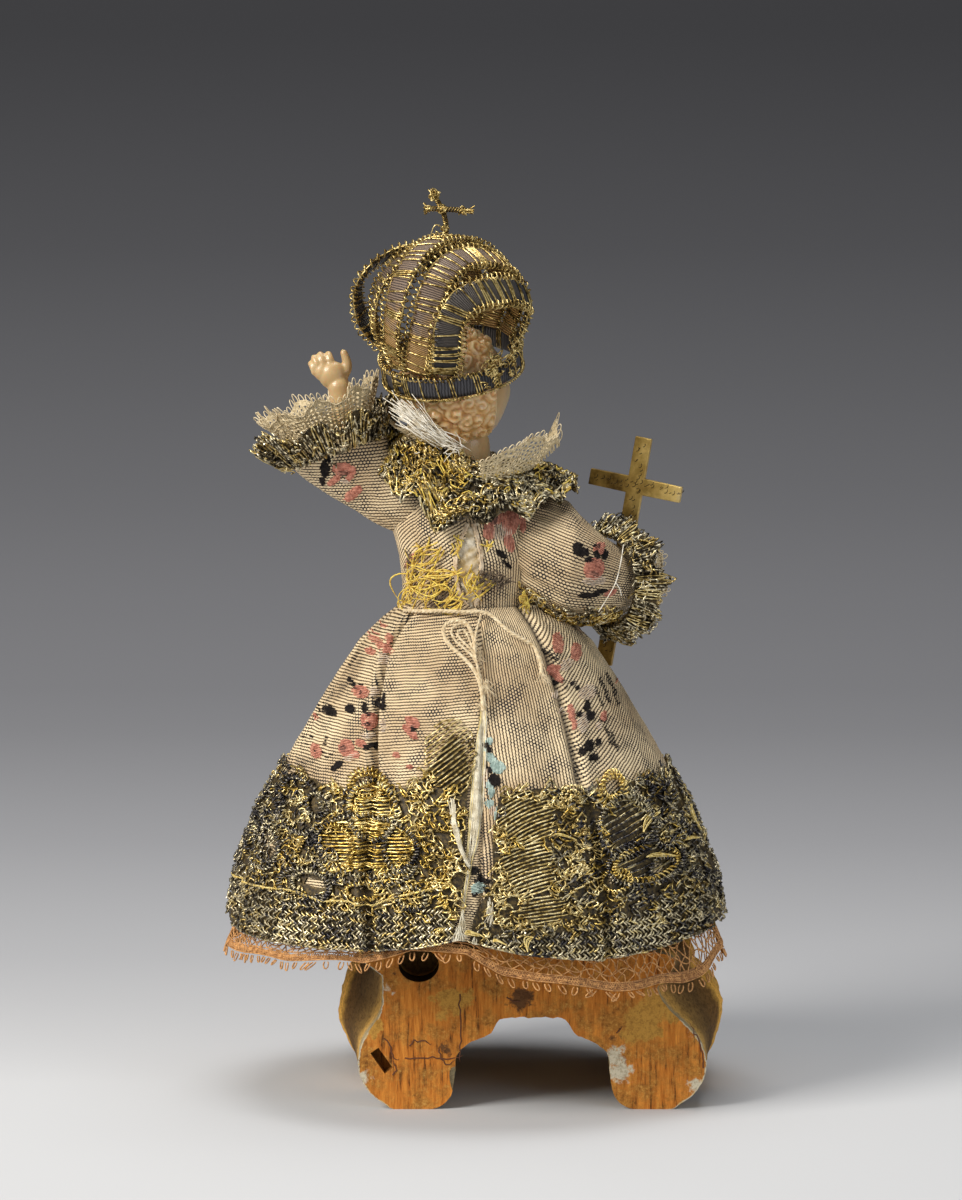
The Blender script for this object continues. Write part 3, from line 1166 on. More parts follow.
def opening_half(z, edge):
    """The x of the opening's edge at each height"""
    t = linspace(0, 1, 30)
    line = [(1 - t) ** 2 * OPENING_LOW[i] + 2 * t * (1 - t) * edge[i] + t ** 2 * OPENING_HIGH[i]
            for i in (0, 1)]
    return interp(z, line[1], line[0])


def in_opening(x, z, grow=0):
    inside = (z > OPENING_LOW[1]) & (z < OPENING_HIGH[1])
    right, left = (opening_half(z, edge) for edge in OPENING_EDGES)
    return inside & (x < right + grow) & (x > left - grow)


def brocade_grid(columns, rows, place, weave_at, split=None):
    """A brocade surface from place(u, v), with its weave's place in millimetres from weave_at(u, v)"""
    bm, shares = grid(columns, rows, "weave")
    spots = place(*shares)
    move(bm.verts, spots)
    map_weave(bm, lambda corners: weave_at(*shares[:, corners], spots[corners]))
    if split is not None:
        drop_faces(bm, split(spots[:, 0], spots[:, 2]) & (spots[:, 1] > 0))
    weld(bm)
    return bm


def bodice_cloth(u, v):
    angle = 2 * pi * u
    z = 91.8 + 27.2 * v
    pleat = 0.28 * sin(9 * angle + 0.5) * ease(-z, -101, -93) + 0.15 * sin(23 * angle) * ease(-z, -99, -92)
    sag = 0.2 * ripple(coords(8 * angle, z / 2, 0 * z), 2.4, 3)
    seam = -0.35 * exp(-((np.degrees(angle) - 44) / 2) ** 2)
    return bodice(angle, z, pleat + sag + seam)


def bodice_weave(u, v, spots):
    flat = coords(np.where(spots[:, 1] > -40, (u - 0.5) * 84, 0), spots[:, 2] * 1.03)
    return turned(flat, -33 if u.mean() < 0.5 else 84)


bodice_bm = brocade_grid(220, 64, bodice_cloth, bodice_weave, in_opening)
gown_bodice = show("gown_bodice", mesh_of("gown_bodice", bodice_bm), brocade)


def sleeve_place(stations, gather=0):
    """The surface of a sleeve: u round it from its back, v along it"""
    count = 60
    centres = smooth_line([station[0] for station in stations], count)
    along = linspace(0, 1, count)
    axes = unit(picked(along, array([station[1] for station in stations])))
    radii = interp(along, linspace(0, 1, len(stations)), [station[2] for station in stations])
    back = unit(array([0, 1, 0]) - axes * axes[:, 1:2])
    side = np.cross(axes, back)

    def place(u, v, out=0):
        turn = (2 * pi * asarray(u, float))[..., None]
        pinch = gather * exp(-asarray(v, float) / 0.22)
        crease = 0.3 * sin(turn[..., 0] * 19) * (0.25 + exp(-asarray(v, float) / 0.3))
        reach = (interp(v, along, radii) * (1 - pinch) + crease + out)[..., None]
        return picked(v, centres) + reach * (cos(turn) * picked(v, back) + sin(turn) * picked(v, side))
    return place


raised_sleeve = sleeve_place(SLEEVE_TABLE["raised"])
lowered_sleeve = sleeve_place(SLEEVE_TABLE["lowered"], 0.18)


def level_weave(u, v, spots):
    return turned(coords(spots[:, 0], spots[:, 2]), -4)


def round_weave(u, v, spots):
    return coords(v * 30, u * 62)


raised_mesh = mesh_of("gown_sleeve_raised", brocade_grid(90, 60, raised_sleeve, level_weave))
lowered_mesh = mesh_of("gown_sleeve_lowered", brocade_grid(120, 60, lowered_sleeve, round_weave))
sleeve_raised = show("gown_sleeve_raised", raised_mesh, brocade)
sleeve_lowered = show("gown_sleeve_lowered", lowered_mesh, brocade)


# Cotton padding bulges in the opening, and the torn edge of the cloth stands up round it
def padding(u, v):
    z = 92.5 + 18.5 * v
    x = 0.9 + (u - 0.5) * 9.5
    puff = 0.8 * sin(pi * u) + 0.35 * ripple(coords(x, x * 0, z), 1.6, 1)
    levels, _, deep, _ = BODICE_RINGS.T
    across = interp(z, levels, BODICE_RINGS[:, 1])
    depth = interp(z, levels, deep) * sqrt(1 - (x / across) ** 2)
    return coords(x, depth - 0.9 + puff * 0.9, z)


cotton = lace_colours("cotton_padding", (0.42, 0.3, 0.14), (0.86, 0.78, 0.62), scale=260, roughness=0.95)
padding_piece = show("bodice_padding", mesh_of("bodice_padding", skin(40, 80, padding)), cotton)
edge_lines = []
for edge, shift in zip(OPENING_EDGES, (0.1, -0.1)):
    z = linspace(94, 109.5, 46)
    x = opening_half(z, edge) + shift
    depth = interp(z, BODICE_RINGS[:, 0], BODICE_RINGS[:, 2]) * sqrt(1 - (x / 13.5) ** 2)
    for strand in range(3):
        edge_lines.append(coords(x + 0.2 * strand * np.sign(shift) + 0.05 * sin(3 * z + strand),
                                 depth + 0.28 - 0.1 * strand, z))
fold_silk = lace_colours("folded_edge_silk", (0.55, 0.38, 0.22), (0.85, 0.7, 0.5), scale=900)
opening_edge = threads("bodice_torn_edge", edge_lines, 0.42, fold_silk)

# Frayed lining silk as (x, height, out from the bodice, spread across and up, strands, length, lean)
YELLOW_FRAYS = [
    (8.4, 98.4, 0.9, 2, 1.8, 12, 10.5, 35), (6.6, 97, 1.2, 1.8, 1.2, 9, 9.5, 60),
    (11.4, 99.8, 0.4, 1, 1.8, 8, 8.5, 15), (8.4, 103.4, 0.9, 0.8, 1, 7, 8, 65),
    (5, 100.2, 1.4, 1, 1, 5, 9.5, 70), (4.6, 94.6, 1, 1.6, 0.8, 7, 6.5, 80),
    (0.2, 99.4, 0.8, 1, 1.5, 9, 5.5, 10), (-1.8, 98.4, 0.8, 1, 1, 7, 6, 50),
    (3.4, 106.2, 0.2, 0.5, 1.8, 6, 3.5, 0), (-2.4, 105.6, 0.6, 0.9, 0.6, 4, 2.5, 60),
    (12.2, 96.4, 0.3, 0.8, 1.4, 7, 7, 20), (-9.6, 94.6, 0.6, 0.8, 1.4, 14, 4, 0),
    (12.9, 92.2, -1.6, 1.2, 1.2, 8, 4.5, 20), (10.2, 103.4, 0.3, 1.4, 1.6, 6, 5, 40),
]
BROWN_FRAYS = [(-2.9, 99.2, 0.8, 1.8, 0.9, 30, 3.6, 40), (6.4, 95, 0.6, 2.2, 0.9, 26, 4.5, 20),
               (-5.2, 98.6, 0.7, 1.2, 0.7, 16, 3, 50), (12.4, 102.8, 0.2, 0.7, 1.4, 12, 3.6, 10)]


def fray_strands(frays):
    lines = []
    for x, z, out, wide, high, count, length, lean in frays:
        for _ in range(count):
            t = linspace(0, 1, 11)
            turn = radians(normal(lean, 20))
            reach = length * uniform(0.45, 1)
            bend = reach * normal(0, 0.2) * sin(pi * t) + 0.3 * sin(6 * t + uniform(0, 6))
            line_x = x + normal(0, wide * 0.6) + reach * (t - 0.35) * sin(turn) + bend * cos(turn)
            line_z = z + normal(0, high * 0.6) - reach * (t - 0.35) * cos(turn) + bend * sin(turn)
            depth = interp(line_z, BODICE_RINGS[:, 0], BODICE_RINGS[:, 2])
            depth = depth * sqrt(clip(1 - (line_x / 14.5) ** 2, 0.05, 1))
            lift = 0.7 * random() + 0.8 * random() * t ** 2
            lines.append(coords(line_x, depth + out + lift, line_z))
    return lines


frayed_yellow = lace_colours("frayed_yellow_silk", (0.45, 0.24, 0.02), (0.93, 0.72, 0.14), scale=1300,
                             roughness=0.45)
frayed_brown = lace_colours("frayed_brown_silk", (0.03, 0.02, 0.012), (0.22, 0.15, 0.09), scale=1500)
yellow_fray = threads("bodice_yellow_fray", fray_strands(YELLOW_FRAYS), 0.32, frayed_yellow, taper=True)
brown_fray = threads("bodice_brown_fray", fray_strands(BROWN_FRAYS), 0.2, frayed_brown, taper=True)
for piece in (gown_bodice, sleeve_raised, sleeve_lowered, padding_piece, opening_edge, yellow_fray,
              brown_fray):
    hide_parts("gown")
# Brocaded flowers
# Coral, black, pale and blue silk is brocaded into the gown as floats, short threads that lie side by
# side along the ribs and end unevenly. They make flowers with black middles and sprigs of dashes.

# On the skirt: x, height, half width, half height, lean in degrees
CORAL_MOTIFS = [
    (17.1, 90.4, 1.2, 1.4, 35), (18.2, 91.3, 0.9, 0.6, 40), (22.2, 85.4, 0.8, 2.7, 35),
    (18.8, 86.9, 1.8, 0.6, 15), (16.9, 85.9, 1.6, 0.8, 10), (19.7, 85, 1.1, 0.6, 0),
    (16.2, 87.5, 0.7, 0.9, 0), (21.5, 78, 1.6, 1.1, 0), (30.2, 72.3, 0.7, 0.9, 0),
    (19.8, 73.2, 1.6, 1.5, 0), (30, 66.6, 1.1, 1.2, 0), (24.1, 68.2, 1.4, 1.5, 0), (21.4, 69.3, 1, 0.7, 0),
    (22.4, 67.2, 0.9, 0.6, 0), (11.7, 73.7, 1.4, 0.9, 30), (12.2, 72, 1.8, 0.7, 40),
    (14.7, 67.8, 0.6, 0.5, 0), (12.2, 65.9, 0.6, 0.4, 0), (-15.6, 86.9, 1, 1.8, -15), (-19, 85, 1, 1.5, 0),
    (-15, 81.6, 0.7, 2.1, -45), (-14.8, 82.7, 1.3, 0.6, 0), (-24.2, 73.5, 0.6, 0.8, 0),
    (-18.1, 74.7, 0.6, 1.7, -15), (-18.6, 72.7, 0.4, 0.8, 0), (-26.2, 78.9, 0.4, 1, -35),
    (18.9, 88.3, 1.4, 0.5, 0),
]
BLACK_MOTIFS = [
    (18.9, 89.6, 1, 0.2, 0), (18.9, 88.9, 1, 0.2, 0), (18.9, 88.5, 0.9, 0.2, 0), (22.4, 83.8, 0.2, 0.5, 30),
    (23.1, 82.8, 0.2, 0.5, 30), (23.7, 82, 0.2, 0.4, 30), (24.2, 81.1, 0.2, 0.4, 30),
    (24.8, 79.8, 0.6, 0.2, 0), (23.6, 79.5, 0.5, 0.3, 0), (22.9, 78.9, 0.6, 0.3, 0),
    (22.4, 78.4, 0.4, 0.2, 0), (21.5, 77.8, 0.5, 0.3, 0), (27.5, 73.7, 1.5, 0.8, 0),
    (29.8, 73.2, 0.5, 0.3, 0), (23.5, 74.8, 0.9, 0.7, 0), (20.7, 75.6, 0.5, 0.9, 0),
    (18, 76.4, 0.8, 0.8, 0), (17.2, 77.4, 0.3, 1, 10), (20, 74.5, 0.5, 0.4, 0), (20.2, 72.7, 0.7, 0.3, 0),
    (32.7, 70.6, 0.1, 5.6, 28), (33.7, 70.5, 0.1, 5.2, 28), (30.3, 74.4, 0.1, 1.8, 28),
    (32.2, 67.5, 0.2, 0.6, -45), (30.7, 68.8, 0.1, 0.5, 45), (28.1, 68.7, 0.2, 0.8, 20),
    (27.3, 66.5, 1.2, 0.2, -30), (25.9, 64.9, 1.4, 0.5, -40), (28.5, 66.7, 0.5, 0.2, 0),
    (24.6, 68, 0.8, 0.6, 0), (20.4, 68.8, 0.7, 0.4, 0), (19.1, 69.2, 0.8, 0.4, 0),
    (18.6, 68.9, 0.4, 0.6, 0), (17.3, 76, 0.4, 0.6, 0), (21.5, 79.2, 0.4, 0.2, 0),
    (11.6, 72.6, 0.5, 0.6, 30), (30.2, 66.7, 0.2, 0.3, 0), (-13.7, 85.2, 0.2, 1.9, -55),
    (-15, 80.1, 0.5, 0.3, 0), (-16.4, 80.4, 0.4, 0.2, -30), (-18.2, 79.8, 0.5, 0.3, 0),
    (-19.2, 78.9, 0.4, 0.3, 0), (-16.8, 79.3, 0.4, 0.2, 0), (-21, 75.6, 0.6, 1, 0),
    (-21.6, 73.9, 0.9, 0.8, 0), (-21.3, 68.9, 0.9, 1, 0), (-20.1, 68, 0.6, 0.6, 0),
    (-22.2, 66.8, 0.9, 0.6, 0), (-23.1, 69.3, 0.5, 0.6, 0), (-24.4, 77.8, 0.2, 2.4, -25),
    (-25.7, 78.4, 0.2, 2.1, -25), (-23.3, 76.9, 0.1, 1.8, -25), (-26.5, 76.1, 0.2, 1.4, -25),
    (-24.2, 72.7, 0.7, 0.2, 0), (-25.1, 70.1, 0.2, 1.8, -20), (-26.2, 68.9, 0.2, 1.8, -20),
    (-19.6, 74.5, 0.5, 0.5, 0), (-2, 69.9, 0.5, 0.7, 0), (-2.7, 69.1, 0.4, 0.5, 0),
    (-3.6, 63.8, 1.1, 1.1, 0), (-2.8, 65.7, 0.3, 0.7, 0), (-2, 66.2, 0.3, 0.4, 0), (0.2, 48.2, 0.8, 0.6, 0),
    (-1.4, 46.4, 1.5, 0.4, 0), (-1.9, 45, 0.6, 0.6, 0), (0.1, 44.1, 0.5, 0.4, 0), (-0.9, 47.1, 0.5, 0.5, 0),
]
BLUE_MOTIFS = [
    (-2.7, 70.7, 0.7, 0.6, 0), (-1.7, 69.1, 0.5, 0.7, 0), (-2.7, 67.8, 0.9, 0.8, 0),
    (-4.2, 66.1, 1.4, 1.1, 0), (-3.4, 67.1, 0.7, 0.6, 0), (-2.5, 63.1, 0.4, 0.7, 0),
    (-3, 61.9, 0.6, 1.1, 0), (-2.7, 59.8, 0.8, 0.7, 0), (-4.3, 57.8, 0.7, 1.6, 0), (-0.7, 45.2, 1.4, 1, 0),
    (0.2, 44.8, 0.5, 0.7, 0),
]
PALE_MOTIFS = [
    (17.1, 84.1, 1.4, 1, 10), (19.1, 78.3, 1.2, 0.8, 0), (17.3, 72.7, 0.7, 1.1, 0),
    (23.2, 66.7, 1.5, 0.6, -20), (20, 70.7, 1.4, 0.5, 0), (-21.1, 78, 1.7, 1.3, 0),
    (-20.2, 72.9, 1.1, 1.6, 0), (-17, 83.1, 1.4, 0.9, -20), (-15, 78.1, 0.7, 0.6, 0),
    (-16.3, 75.2, 0.7, 0.6, 0), (-23.2, 72, 0.6, 0.6, 0), (-1.8, 64.5, 0.7, 1.6, 0),
    (-3.2, 58.6, 0.6, 1, 0),
]
# On the bodice and sleeves
CORAL_ON_TOP = [
    (25, 119.6, 1.9, 1.2, 0), (23.4, 118.6, 0.7, 1.5, 20), (26.6, 117.2, 0.6, 1.6, 45),
    (23, 114.6, 0.9, 2.2, 45), (31.4, 121.6, 0.5, 1.6, 50), (-3, 110.6, 2.6, 1.5, 0),
    (-6.6, 109.6, 1.6, 2.3, 0), (-2.6, 108, 1.1, 1.6, 0), (-6.4, 105.8, 0.9, 2, -15),
    (-9, 109.4, 0.7, 1.9, 0), (-23.2, 106.6, 1.5, 1.3, 0), (-23.4, 104.4, 1, 1, 0),
    (-22.4, 100.8, 1.9, 2, 0), (-25.4, 95.9, 1.2, 0.6, -20), (12.2, 102, 0.5, 1.9, 30),
]
BLACK_ON_TOP = [
    (27.9, 122.4, 0.8, 1.7, -20), (28.3, 119.4, 0.8, 1.6, 0), (24.8, 118.8, 1.2, 0.5, 0),
    (28.8, 116.9, 0.5, 0.9, 0), (-3.5, 110.4, 0.9, 1, 0), (-19.9, 104.2, 1.6, 0.8, 15),
    (-19.2, 105, 0.9, 0.8, 0), (-21.6, 102.6, 0.9, 0.5, 0), (-22.9, 103.4, 0.5, 0.9, 0),
    (-24.4, 103.2, 0.6, 0.9, 0), (-22.9, 104.9, 0.7, 0.4, 0), (-22.4, 99.9, 1, 0.5, 15),
    (-21.4, 95.8, 1.9, 0.5, 0), (-23.8, 96.4, 1.2, 0.4, 0), (-4.9, 103.6, 1.2, 0.4, 40),
    (-6, 101.6, 1, 0.3, 45),
]
PALE_ON_TOP = [(-5, 107.8, 1.8, 1.6, 0), (-22.5, 98.6, 2.3, 0.9, 0), (24.4, 117.2, 1, 0.5, 0)]


def rib_slope(x, z):
    """The direction of the ribs at a place on the back of the gown, in degrees from level"""
    if z > 92:
        if x > 17 or z > 113:
            return -4.0
        if x < -11:
            return np.degrees(np.arctan2(z - 99.5, x + 9.5))
        return -33 if x > 0.6 else 84.0
    angle = np.degrees(float(angle_at(x, z)))
    folds = fold_angles(array([float(z)]))[:, 0]
    return PANEL_RIBS[int(((angle - folds) % 360).argmin())][1]


cloth_spots, cloth_faces = [], []
for piece in (gown_skirt, gown_bodice, sleeve_raised, sleeve_lowered):
    first = len(cloth_spots)
    cloth_spots += [Vector(array(vertex.co) / MILLIMETRE - LAYOUT_SHIFT) for vertex in piece.data.vertices]
    cloth_faces += [[first + index for index in face.vertices] for face in piece.data.polygons]
cloth_tree = BVHTree.FromPolygons(cloth_spots, cloth_faces)


def on_cloth(x, z, out):
    """Points over the cloth seen from the back, or None where there is no cloth"""
    line = []
    for place_x, place_z, height in zip(x, z, out):
        spot, outward, _, _ = cloth_tree.ray_cast(Vector((place_x, 60, place_z)), Vector((0, -1, 0)))
        if spot is None or abs(outward.y) < 0.12:
            return None
        line.append(array(spot + outward * height * np.copysign(1, outward.y)))
    return array(line)


def chord(shape, start, ahead):
    """How far ahead of start a line enters and leaves an oval"""
    a, b, c = ahead @ shape @ ahead, start @ shape @ ahead, start @ shape @ start - 1
    root = sqrt(max(b * b - a * c, 0))
    return (-b - root) / a, (-b + root) / a


def floats(motifs, pitch=0.27):
    """The threads of a list of motifs, each laid along the ribs and cut off at the motif's edge"""
    lines = []
    for centre_x, centre_z, half_width, half_height, lean in motifs:
        turn, slope = radians(lean), radians(rib_slope(centre_x, centre_z))
        axes = array([[cos(turn) / half_width, sin(turn) / half_width],
                      [-sin(turn) / half_height, cos(turn) / half_height]])
        ahead = array([cos(slope), sin(slope)])
        across = array([-ahead[1], ahead[0]])
        shape = axes.T @ axes
        reach = sqrt(across @ np.linalg.inv(shape) @ across)
        step = pitch if min(half_width, half_height) > 0.24 else 2.2 * pitch
        for offset in arange(-reach + step / 3, reach, step):
            start = across * offset
            low, high = chord(shape, start, ahead)
            low, high = min(low, (low + high) / 2 - 0.22), max(high, (low + high) / 2 + 0.22)
            t = linspace(low + uniform(-0.22, 0.14), high + uniform(-0.14, 0.22),
                         max(4, int((high - low) / 0.6)))
            spots = array([centre_x, centre_z]) + start + t[:, None] * ahead
            line = on_cloth(*spots.T, 0.03 + 0.17 * sin(pi * linspace(0.06, 0.94, len(t))))
            if line is not None:
                lines.append(line)
    return lines


coral_silk = lace_colours("coral_silk", (0.3, 0.08, 0.045), (0.72, 0.31, 0.21), scale=1500)
black_silk = lace_colours("black_silk", (0.006, 0.004, 0.004), (0.026, 0.02, 0.017), scale=1100,
                          specular=0.15)
blue_silk = lace_colours("faded_blue_silk", (0.25, 0.34, 0.3), (0.5, 0.6, 0.53), scale=1100)
pale_silk = lace_colours("pale_pink_silk", (0.5, 0.36, 0.26), (0.86, 0.72, 0.56), scale=1100)
float_pieces = [
    threads("brocaded_pale_silk", floats(PALE_MOTIFS + PALE_ON_TOP, 0.34), 0.2, pale_silk),
    threads("brocaded_coral_silk", floats(CORAL_MOTIFS + CORAL_ON_TOP), 0.27, coral_silk),
    threads("brocaded_blue_silk", floats(BLUE_MOTIFS), 0.27, blue_silk),
    threads("brocaded_black_silk", floats(BLACK_MOTIFS + BLACK_ON_TOP, 0.25), 0.3, black_silk),
]


# Hem lace
# Metal bobbin lace of gilt and silver thread is sewn over the lower half of the skirt: loops and coils
# of purl on a dark ground, rings round bare windows, and fans of straight gold threads between them.

def lace_top(angle):
    """The height of the hem lace's upper edge, with its torn peak beside the slit"""
    degrees = (np.degrees(angle) + 180) % 360 - 180
    return 60.5 + 2.4 * np.abs(sin(4.5 * angle)) + 10.5 * exp(-((degrees - 7) / 6.5) ** 2)


def metal_thread(name, dark, middle, light, roughness=0.36):
    """Metal-wrapped thread: glints broken by dark gaps between its turns"""
    material, tree, shader = new_material(name, roughness=roughness, metallic=0.9)
    spot = object_place(tree)
    glint = noise(tree, spot, 1300, 1, roughness=0.6)
    drift = noise(tree, spot, 150, 3)
    tone = calc(tree, "ADD", calc(tree, "MULTIPLY", glint, 0.7), calc(tree, "MULTIPLY", drift, 0.5))
    look(tree, shader, ramp(tree, tone, (0.46, dark), (0.57, middle), (0.72, light)), glint, 0.4)
    return material


bright_gold = metal_thread("bright_gold_thread", (0.2, 0.12, 0.02), (0.55, 0.37, 0.08), (0.9, 0.71, 0.3))
pale_gold = metal_thread("pale_gold_thread", (0.14, 0.09, 0.025), (0.5, 0.36, 0.125), (0.88, 0.74, 0.4))
dark_silver = metal_thread("dark_silver_thread", (0.02, 0.019, 0.024), (0.1, 0.09, 0.085),
                           (0.55, 0.47, 0.28))
silver_thread = metal_thread("silver_thread", (0.05, 0.042, 0.026), (0.38, 0.31, 0.18), (0.88, 0.77, 0.52))
yellow_silk = lace_colours("yellow_silk", (0.5, 0.33, 0.05), (0.9, 0.72, 0.3), scale=1500)

# Bare windows in the lace as middle, half width and half height
LACE_WINDOWS = [
    ((19.4, 62.4), 2.2, 1.6), ((28.7, 58.2), 1.6, 1.6), ((38.4, 49.5), 2.2, 2.4), ((29.6, 44.2), 3.2, 1.8),
    ((37, 57), 1.5, 1.6), ((20.4, 44), 2.4, 1), ((-24.9, 62), 1.3, 1.9), ((-30.6, 59.6), 1.4, 1.4),
    ((-25.5, 45.2), 2.3, 1.5), ((-34.1, 46.1), 1.8, 1.7), ((-38.8, 53), 1.3, 1.8),
]


def in_ovals(x, z, ovals, grow=0, limit=1):
    """Whether places are inside any of the ovals, given as middle, half width and half height"""
    inside = np.zeros(np.shape(x), bool)
    for (middle_x, middle_z), half_width, half_height, *_ in ovals:
        across, up = (x - middle_x) / (half_width + grow), (z - middle_z) / (half_height + grow)
        inside |= across ** 2 + up ** 2 < limit
    return inside


# The lace's two edges beside the slit, as height and x
LACE_END_LEFT = array([[78, -0.2], [66, 0.9], [61.5, 1.4], [53, 1.8], [44.6, 2], [36.8, 3.4], [31, 4.2]])
LACE_END_RIGHT = array([[65, -5.6], [64, -5.2], [59.4, -4.1], [53, -3.2], [44.6, -3.3], [36.8, 0.2],
                        [31, 1]])


def lace_end(edge, z):
    return interp(-asarray(z, float), -edge[:, 0], edge[:, 1])


ground_bm, (around, share_up) = grid(260, 20, "share")
angles = 2 * pi * around
for _ in range(3):
    levels = 31.3 + (lace_top(angles) - 31.9) * share_up
    first = angle_at(lace_end(LACE_END_LEFT, levels), levels)
    last = 2 * pi + angle_at(lace_end(LACE_END_RIGHT, levels), levels)
    angles = first + (last - first) * around
placed = skirt(angles, levels, 0.45)
move(ground_bm.verts, placed)
drop_faces(ground_bm, in_ovals(placed[:, 0], placed[:, 2], LACE_WINDOWS) & (placed[:, 1] > 0))
gold_ground, tree, shader = new_material("metal_lace_ground", roughness=0.6, metallic=0.4)
mottle = noise(tree, object_place(tree), 1500, 4, roughness=0.8)
look(tree, shader, ramp(tree, mottle, (0.4, (0.015, 0.011, 0.007)), (0.58, (0.1, 0.066, 0.02)),
                        (0.72, (0.3, 0.2, 0.065))))
hem_ground = show("hem_lace_ground", mesh_of("hem_lace_ground", ground_bm), gold_ground)


def hatch(centre, half_width, half_height, slope, pitch, out=0.75, bow=0):
    """A thread laid to and fro across an oval on the back of the skirt, with its turns at the edge"""
    turn = radians(slope)
    ahead = array([cos(turn), sin(turn)])
    across = array([-ahead[1], ahead[0]])
    reach = np.hypot(half_width * across[0], half_height * across[1])
    shape = np.diag([1 / half_width ** 2, 1 / half_height ** 2])
    rows = []
    for row, offset in enumerate(arange(-reach + pitch / 2, reach, pitch)):
        start = across * offset
        low, high = chord(shape, start, ahead)
        along = linspace(low + uniform(-0.5, 0.5), high + uniform(-0.5, 0.5),
                         max(int((high - low) / 0.9), 3))
        lift = bow * (1 - (along / half_width) ** 2) + 0.06 * sin(along * 1.7 + offset * 5)
        spots = array(centre) + start + along[:, None] * ahead + lift[:, None] * across
        rows.append(spots if row % 2 else spots[::-1])
    line = np.concatenate(rows)
    return [on_back(line[:, 0], line[:, 1], out + 0.14 * sin(arange(len(line)) * 0.9))]


def coil_ring(surface, centre, half_width, half_height, thread=0.36, pitch=0.62, start=0, sweep=2 * pi):
    """Purl: a thread coiled round an oval path"""
    length = sweep * (half_width + half_height) / 2
    turns = int(length / pitch)
    t = linspace(0, 1, turns * 6)
    around = start + sweep * t
    wind = 2 * pi * turns * t
    widen = thread * cos(wind)
    x = centre[0] + (half_width + widen) * cos(around)
    z = centre[1] + (half_height + widen) * sin(around)
    return surface(x, z, 1.15 + thread * sin(wind))


def squiggle(surface, x, z, size, out=0.85, steps=10):
    """A loose loop of thread"""
    t = linspace(0, uniform(4, 8), steps)
    lean = uniform(0, 2 * pi)
    wide = size * (cos(t) + 0.45 * cos(2.3 * t + lean)) + normal(0, 0.12) * t
    high = size * (sin(t + lean) + 0.4 * sin(1.7 * t)) + normal(0, 0.12) * t
    return surface(x + wide, z + high, out + 0.3 * sin(2.1 * t + lean) + uniform(-0.25, 0.4))


# Fans of straight thread: middle, half width, half height, slope, spacing and bow
GOLD_OVALS = [
    ((18.6, 58.2), 3.6, 4.4, -4, 0.62, 0), ((19.6, 52), 8.6, 4.6, -5, 0.6, 0),
]
PALE_OVALS = [
    ((4.6, 68.2), 4.6, 6.4, -36, 0.74, 0), ((-9.8, 56.8), 5.6, 4.6, -22, 0.66, 0.8),
    ((-9.4, 48.4), 5.6, 5.4, -16, 0.66, 0.6), ((-12.4, 41), 4.8, 3, -6, 0.64, 0),
]
DARK_OVALS = [((-27.4, 54.4), 4.4, 4.6, -24, 0.6, 0), ((-31, 47.6), 6.4, 3.2, -20, 0.6, 0)]


gold_lines, pale_lines, dark_lines, silver_lines = [], [], [], []
for centre, half_width, half_height, slope, pitch, bow in GOLD_OVALS:
    gold_lines += hatch(centre, half_width, half_height, slope, pitch, bow=bow)
    gold_lines += hatch(centre, half_width, half_height, slope + 2, 4 * pitch, 1)
for *oval, bow in PALE_OVALS:
    pale_lines += hatch(*oval, bow=bow)
for centre, half_width, half_height, slope, pitch, _ in DARK_OVALS:
    pale_lines += hatch(centre, half_width, half_height, slope, 2 * pitch)
    dark_lines += hatch(centre, half_width, half_height, slope + 3, 2 * pitch, 0.85)
for centre, half_width, half_height in LACE_WINDOWS:
    coil = coil_ring(on_back, centre, half_width + 0.4, half_height + 0.4)
    (dark_lines if abs(centre[0]) > 26 else gold_lines).append(coil)

# Scallops of purl round the fans, as middle, half width and height, first angle and sweep in degrees
PURL_ARCS = [
    ((18.6, 58.2), 4.4, 5.1, 0, 360, "dark"), ((19.6, 52), 9.2, 5.3, 0, 360, "dark"),
    ((38.6, 55.6), 2.2, 2.6, 0, 360, "dark"), ((-35.6, 52), 2.8, 2.4, 0, 360, "dark"),
    ((18.6, 58.6), 4.2, 4.4, -10, 200, "gold"), ((13.2, 52.2), 3.2, 4.2, -120, 200, "dark"),
    ((25.6, 51.2), 3.4, 4, 60, 220, "gold"), ((19.6, 49), 8.8, 3.8, 180, 180, "dark"),
    ((19.4, 62.4), 3.4, 2.8, -20, 220, "gold"), ((32, 57.5), 4, 4.6, 0, 360, "dark"),
    ((39.2, 49.5), 3.2, 4.2, 0, 360, "dark"), ((31, 43.8), 4.6, 3, 0, 360, "dark"),
    ((11.4, 43.4), 2.6, 2, 0, 360, "dark"), ((-27.4, 54.4), 5, 5.4, 0, 360, "dark"),
    ((-31, 47.6), 7, 3.8, 150, 300, "dark"), ((-31, 47.6), 5.8, 2.8, 150, 300, "gold"),
    ((-25, 60.6), 2.4, 2.8, -20, 220, "gold"), ((-34, 57.4), 2.6, 3.2, 0, 360, "dark"),
]
for centre, half_width, half_height, first, sweep, kind in PURL_ARCS:
    arc = coil_ring(on_back, centre, half_width, half_height, 0.46, 0.72, radians(first), radians(sweep))
    (gold_lines if kind == "gold" else dark_lines).append(arc)
for turns_in in range(3):
    pale_lines.append(coil_ring(on_back, (-17.6, 60.4), 0.5 + 0.8 * turns_in, 0.5 + 0.8 * turns_in, 0.2))


# The woven border at the hem, whose pale and dark stitches lean to and fro in rows
def border_top(x):
    """The height of the border's upper edge, beside the slit and out to the sides"""
    return interp(x, (-46, -30, -6, 1, 6, 24, 46), (45, 38.5, 36, 35, 41.5, 40.5, 43.5))


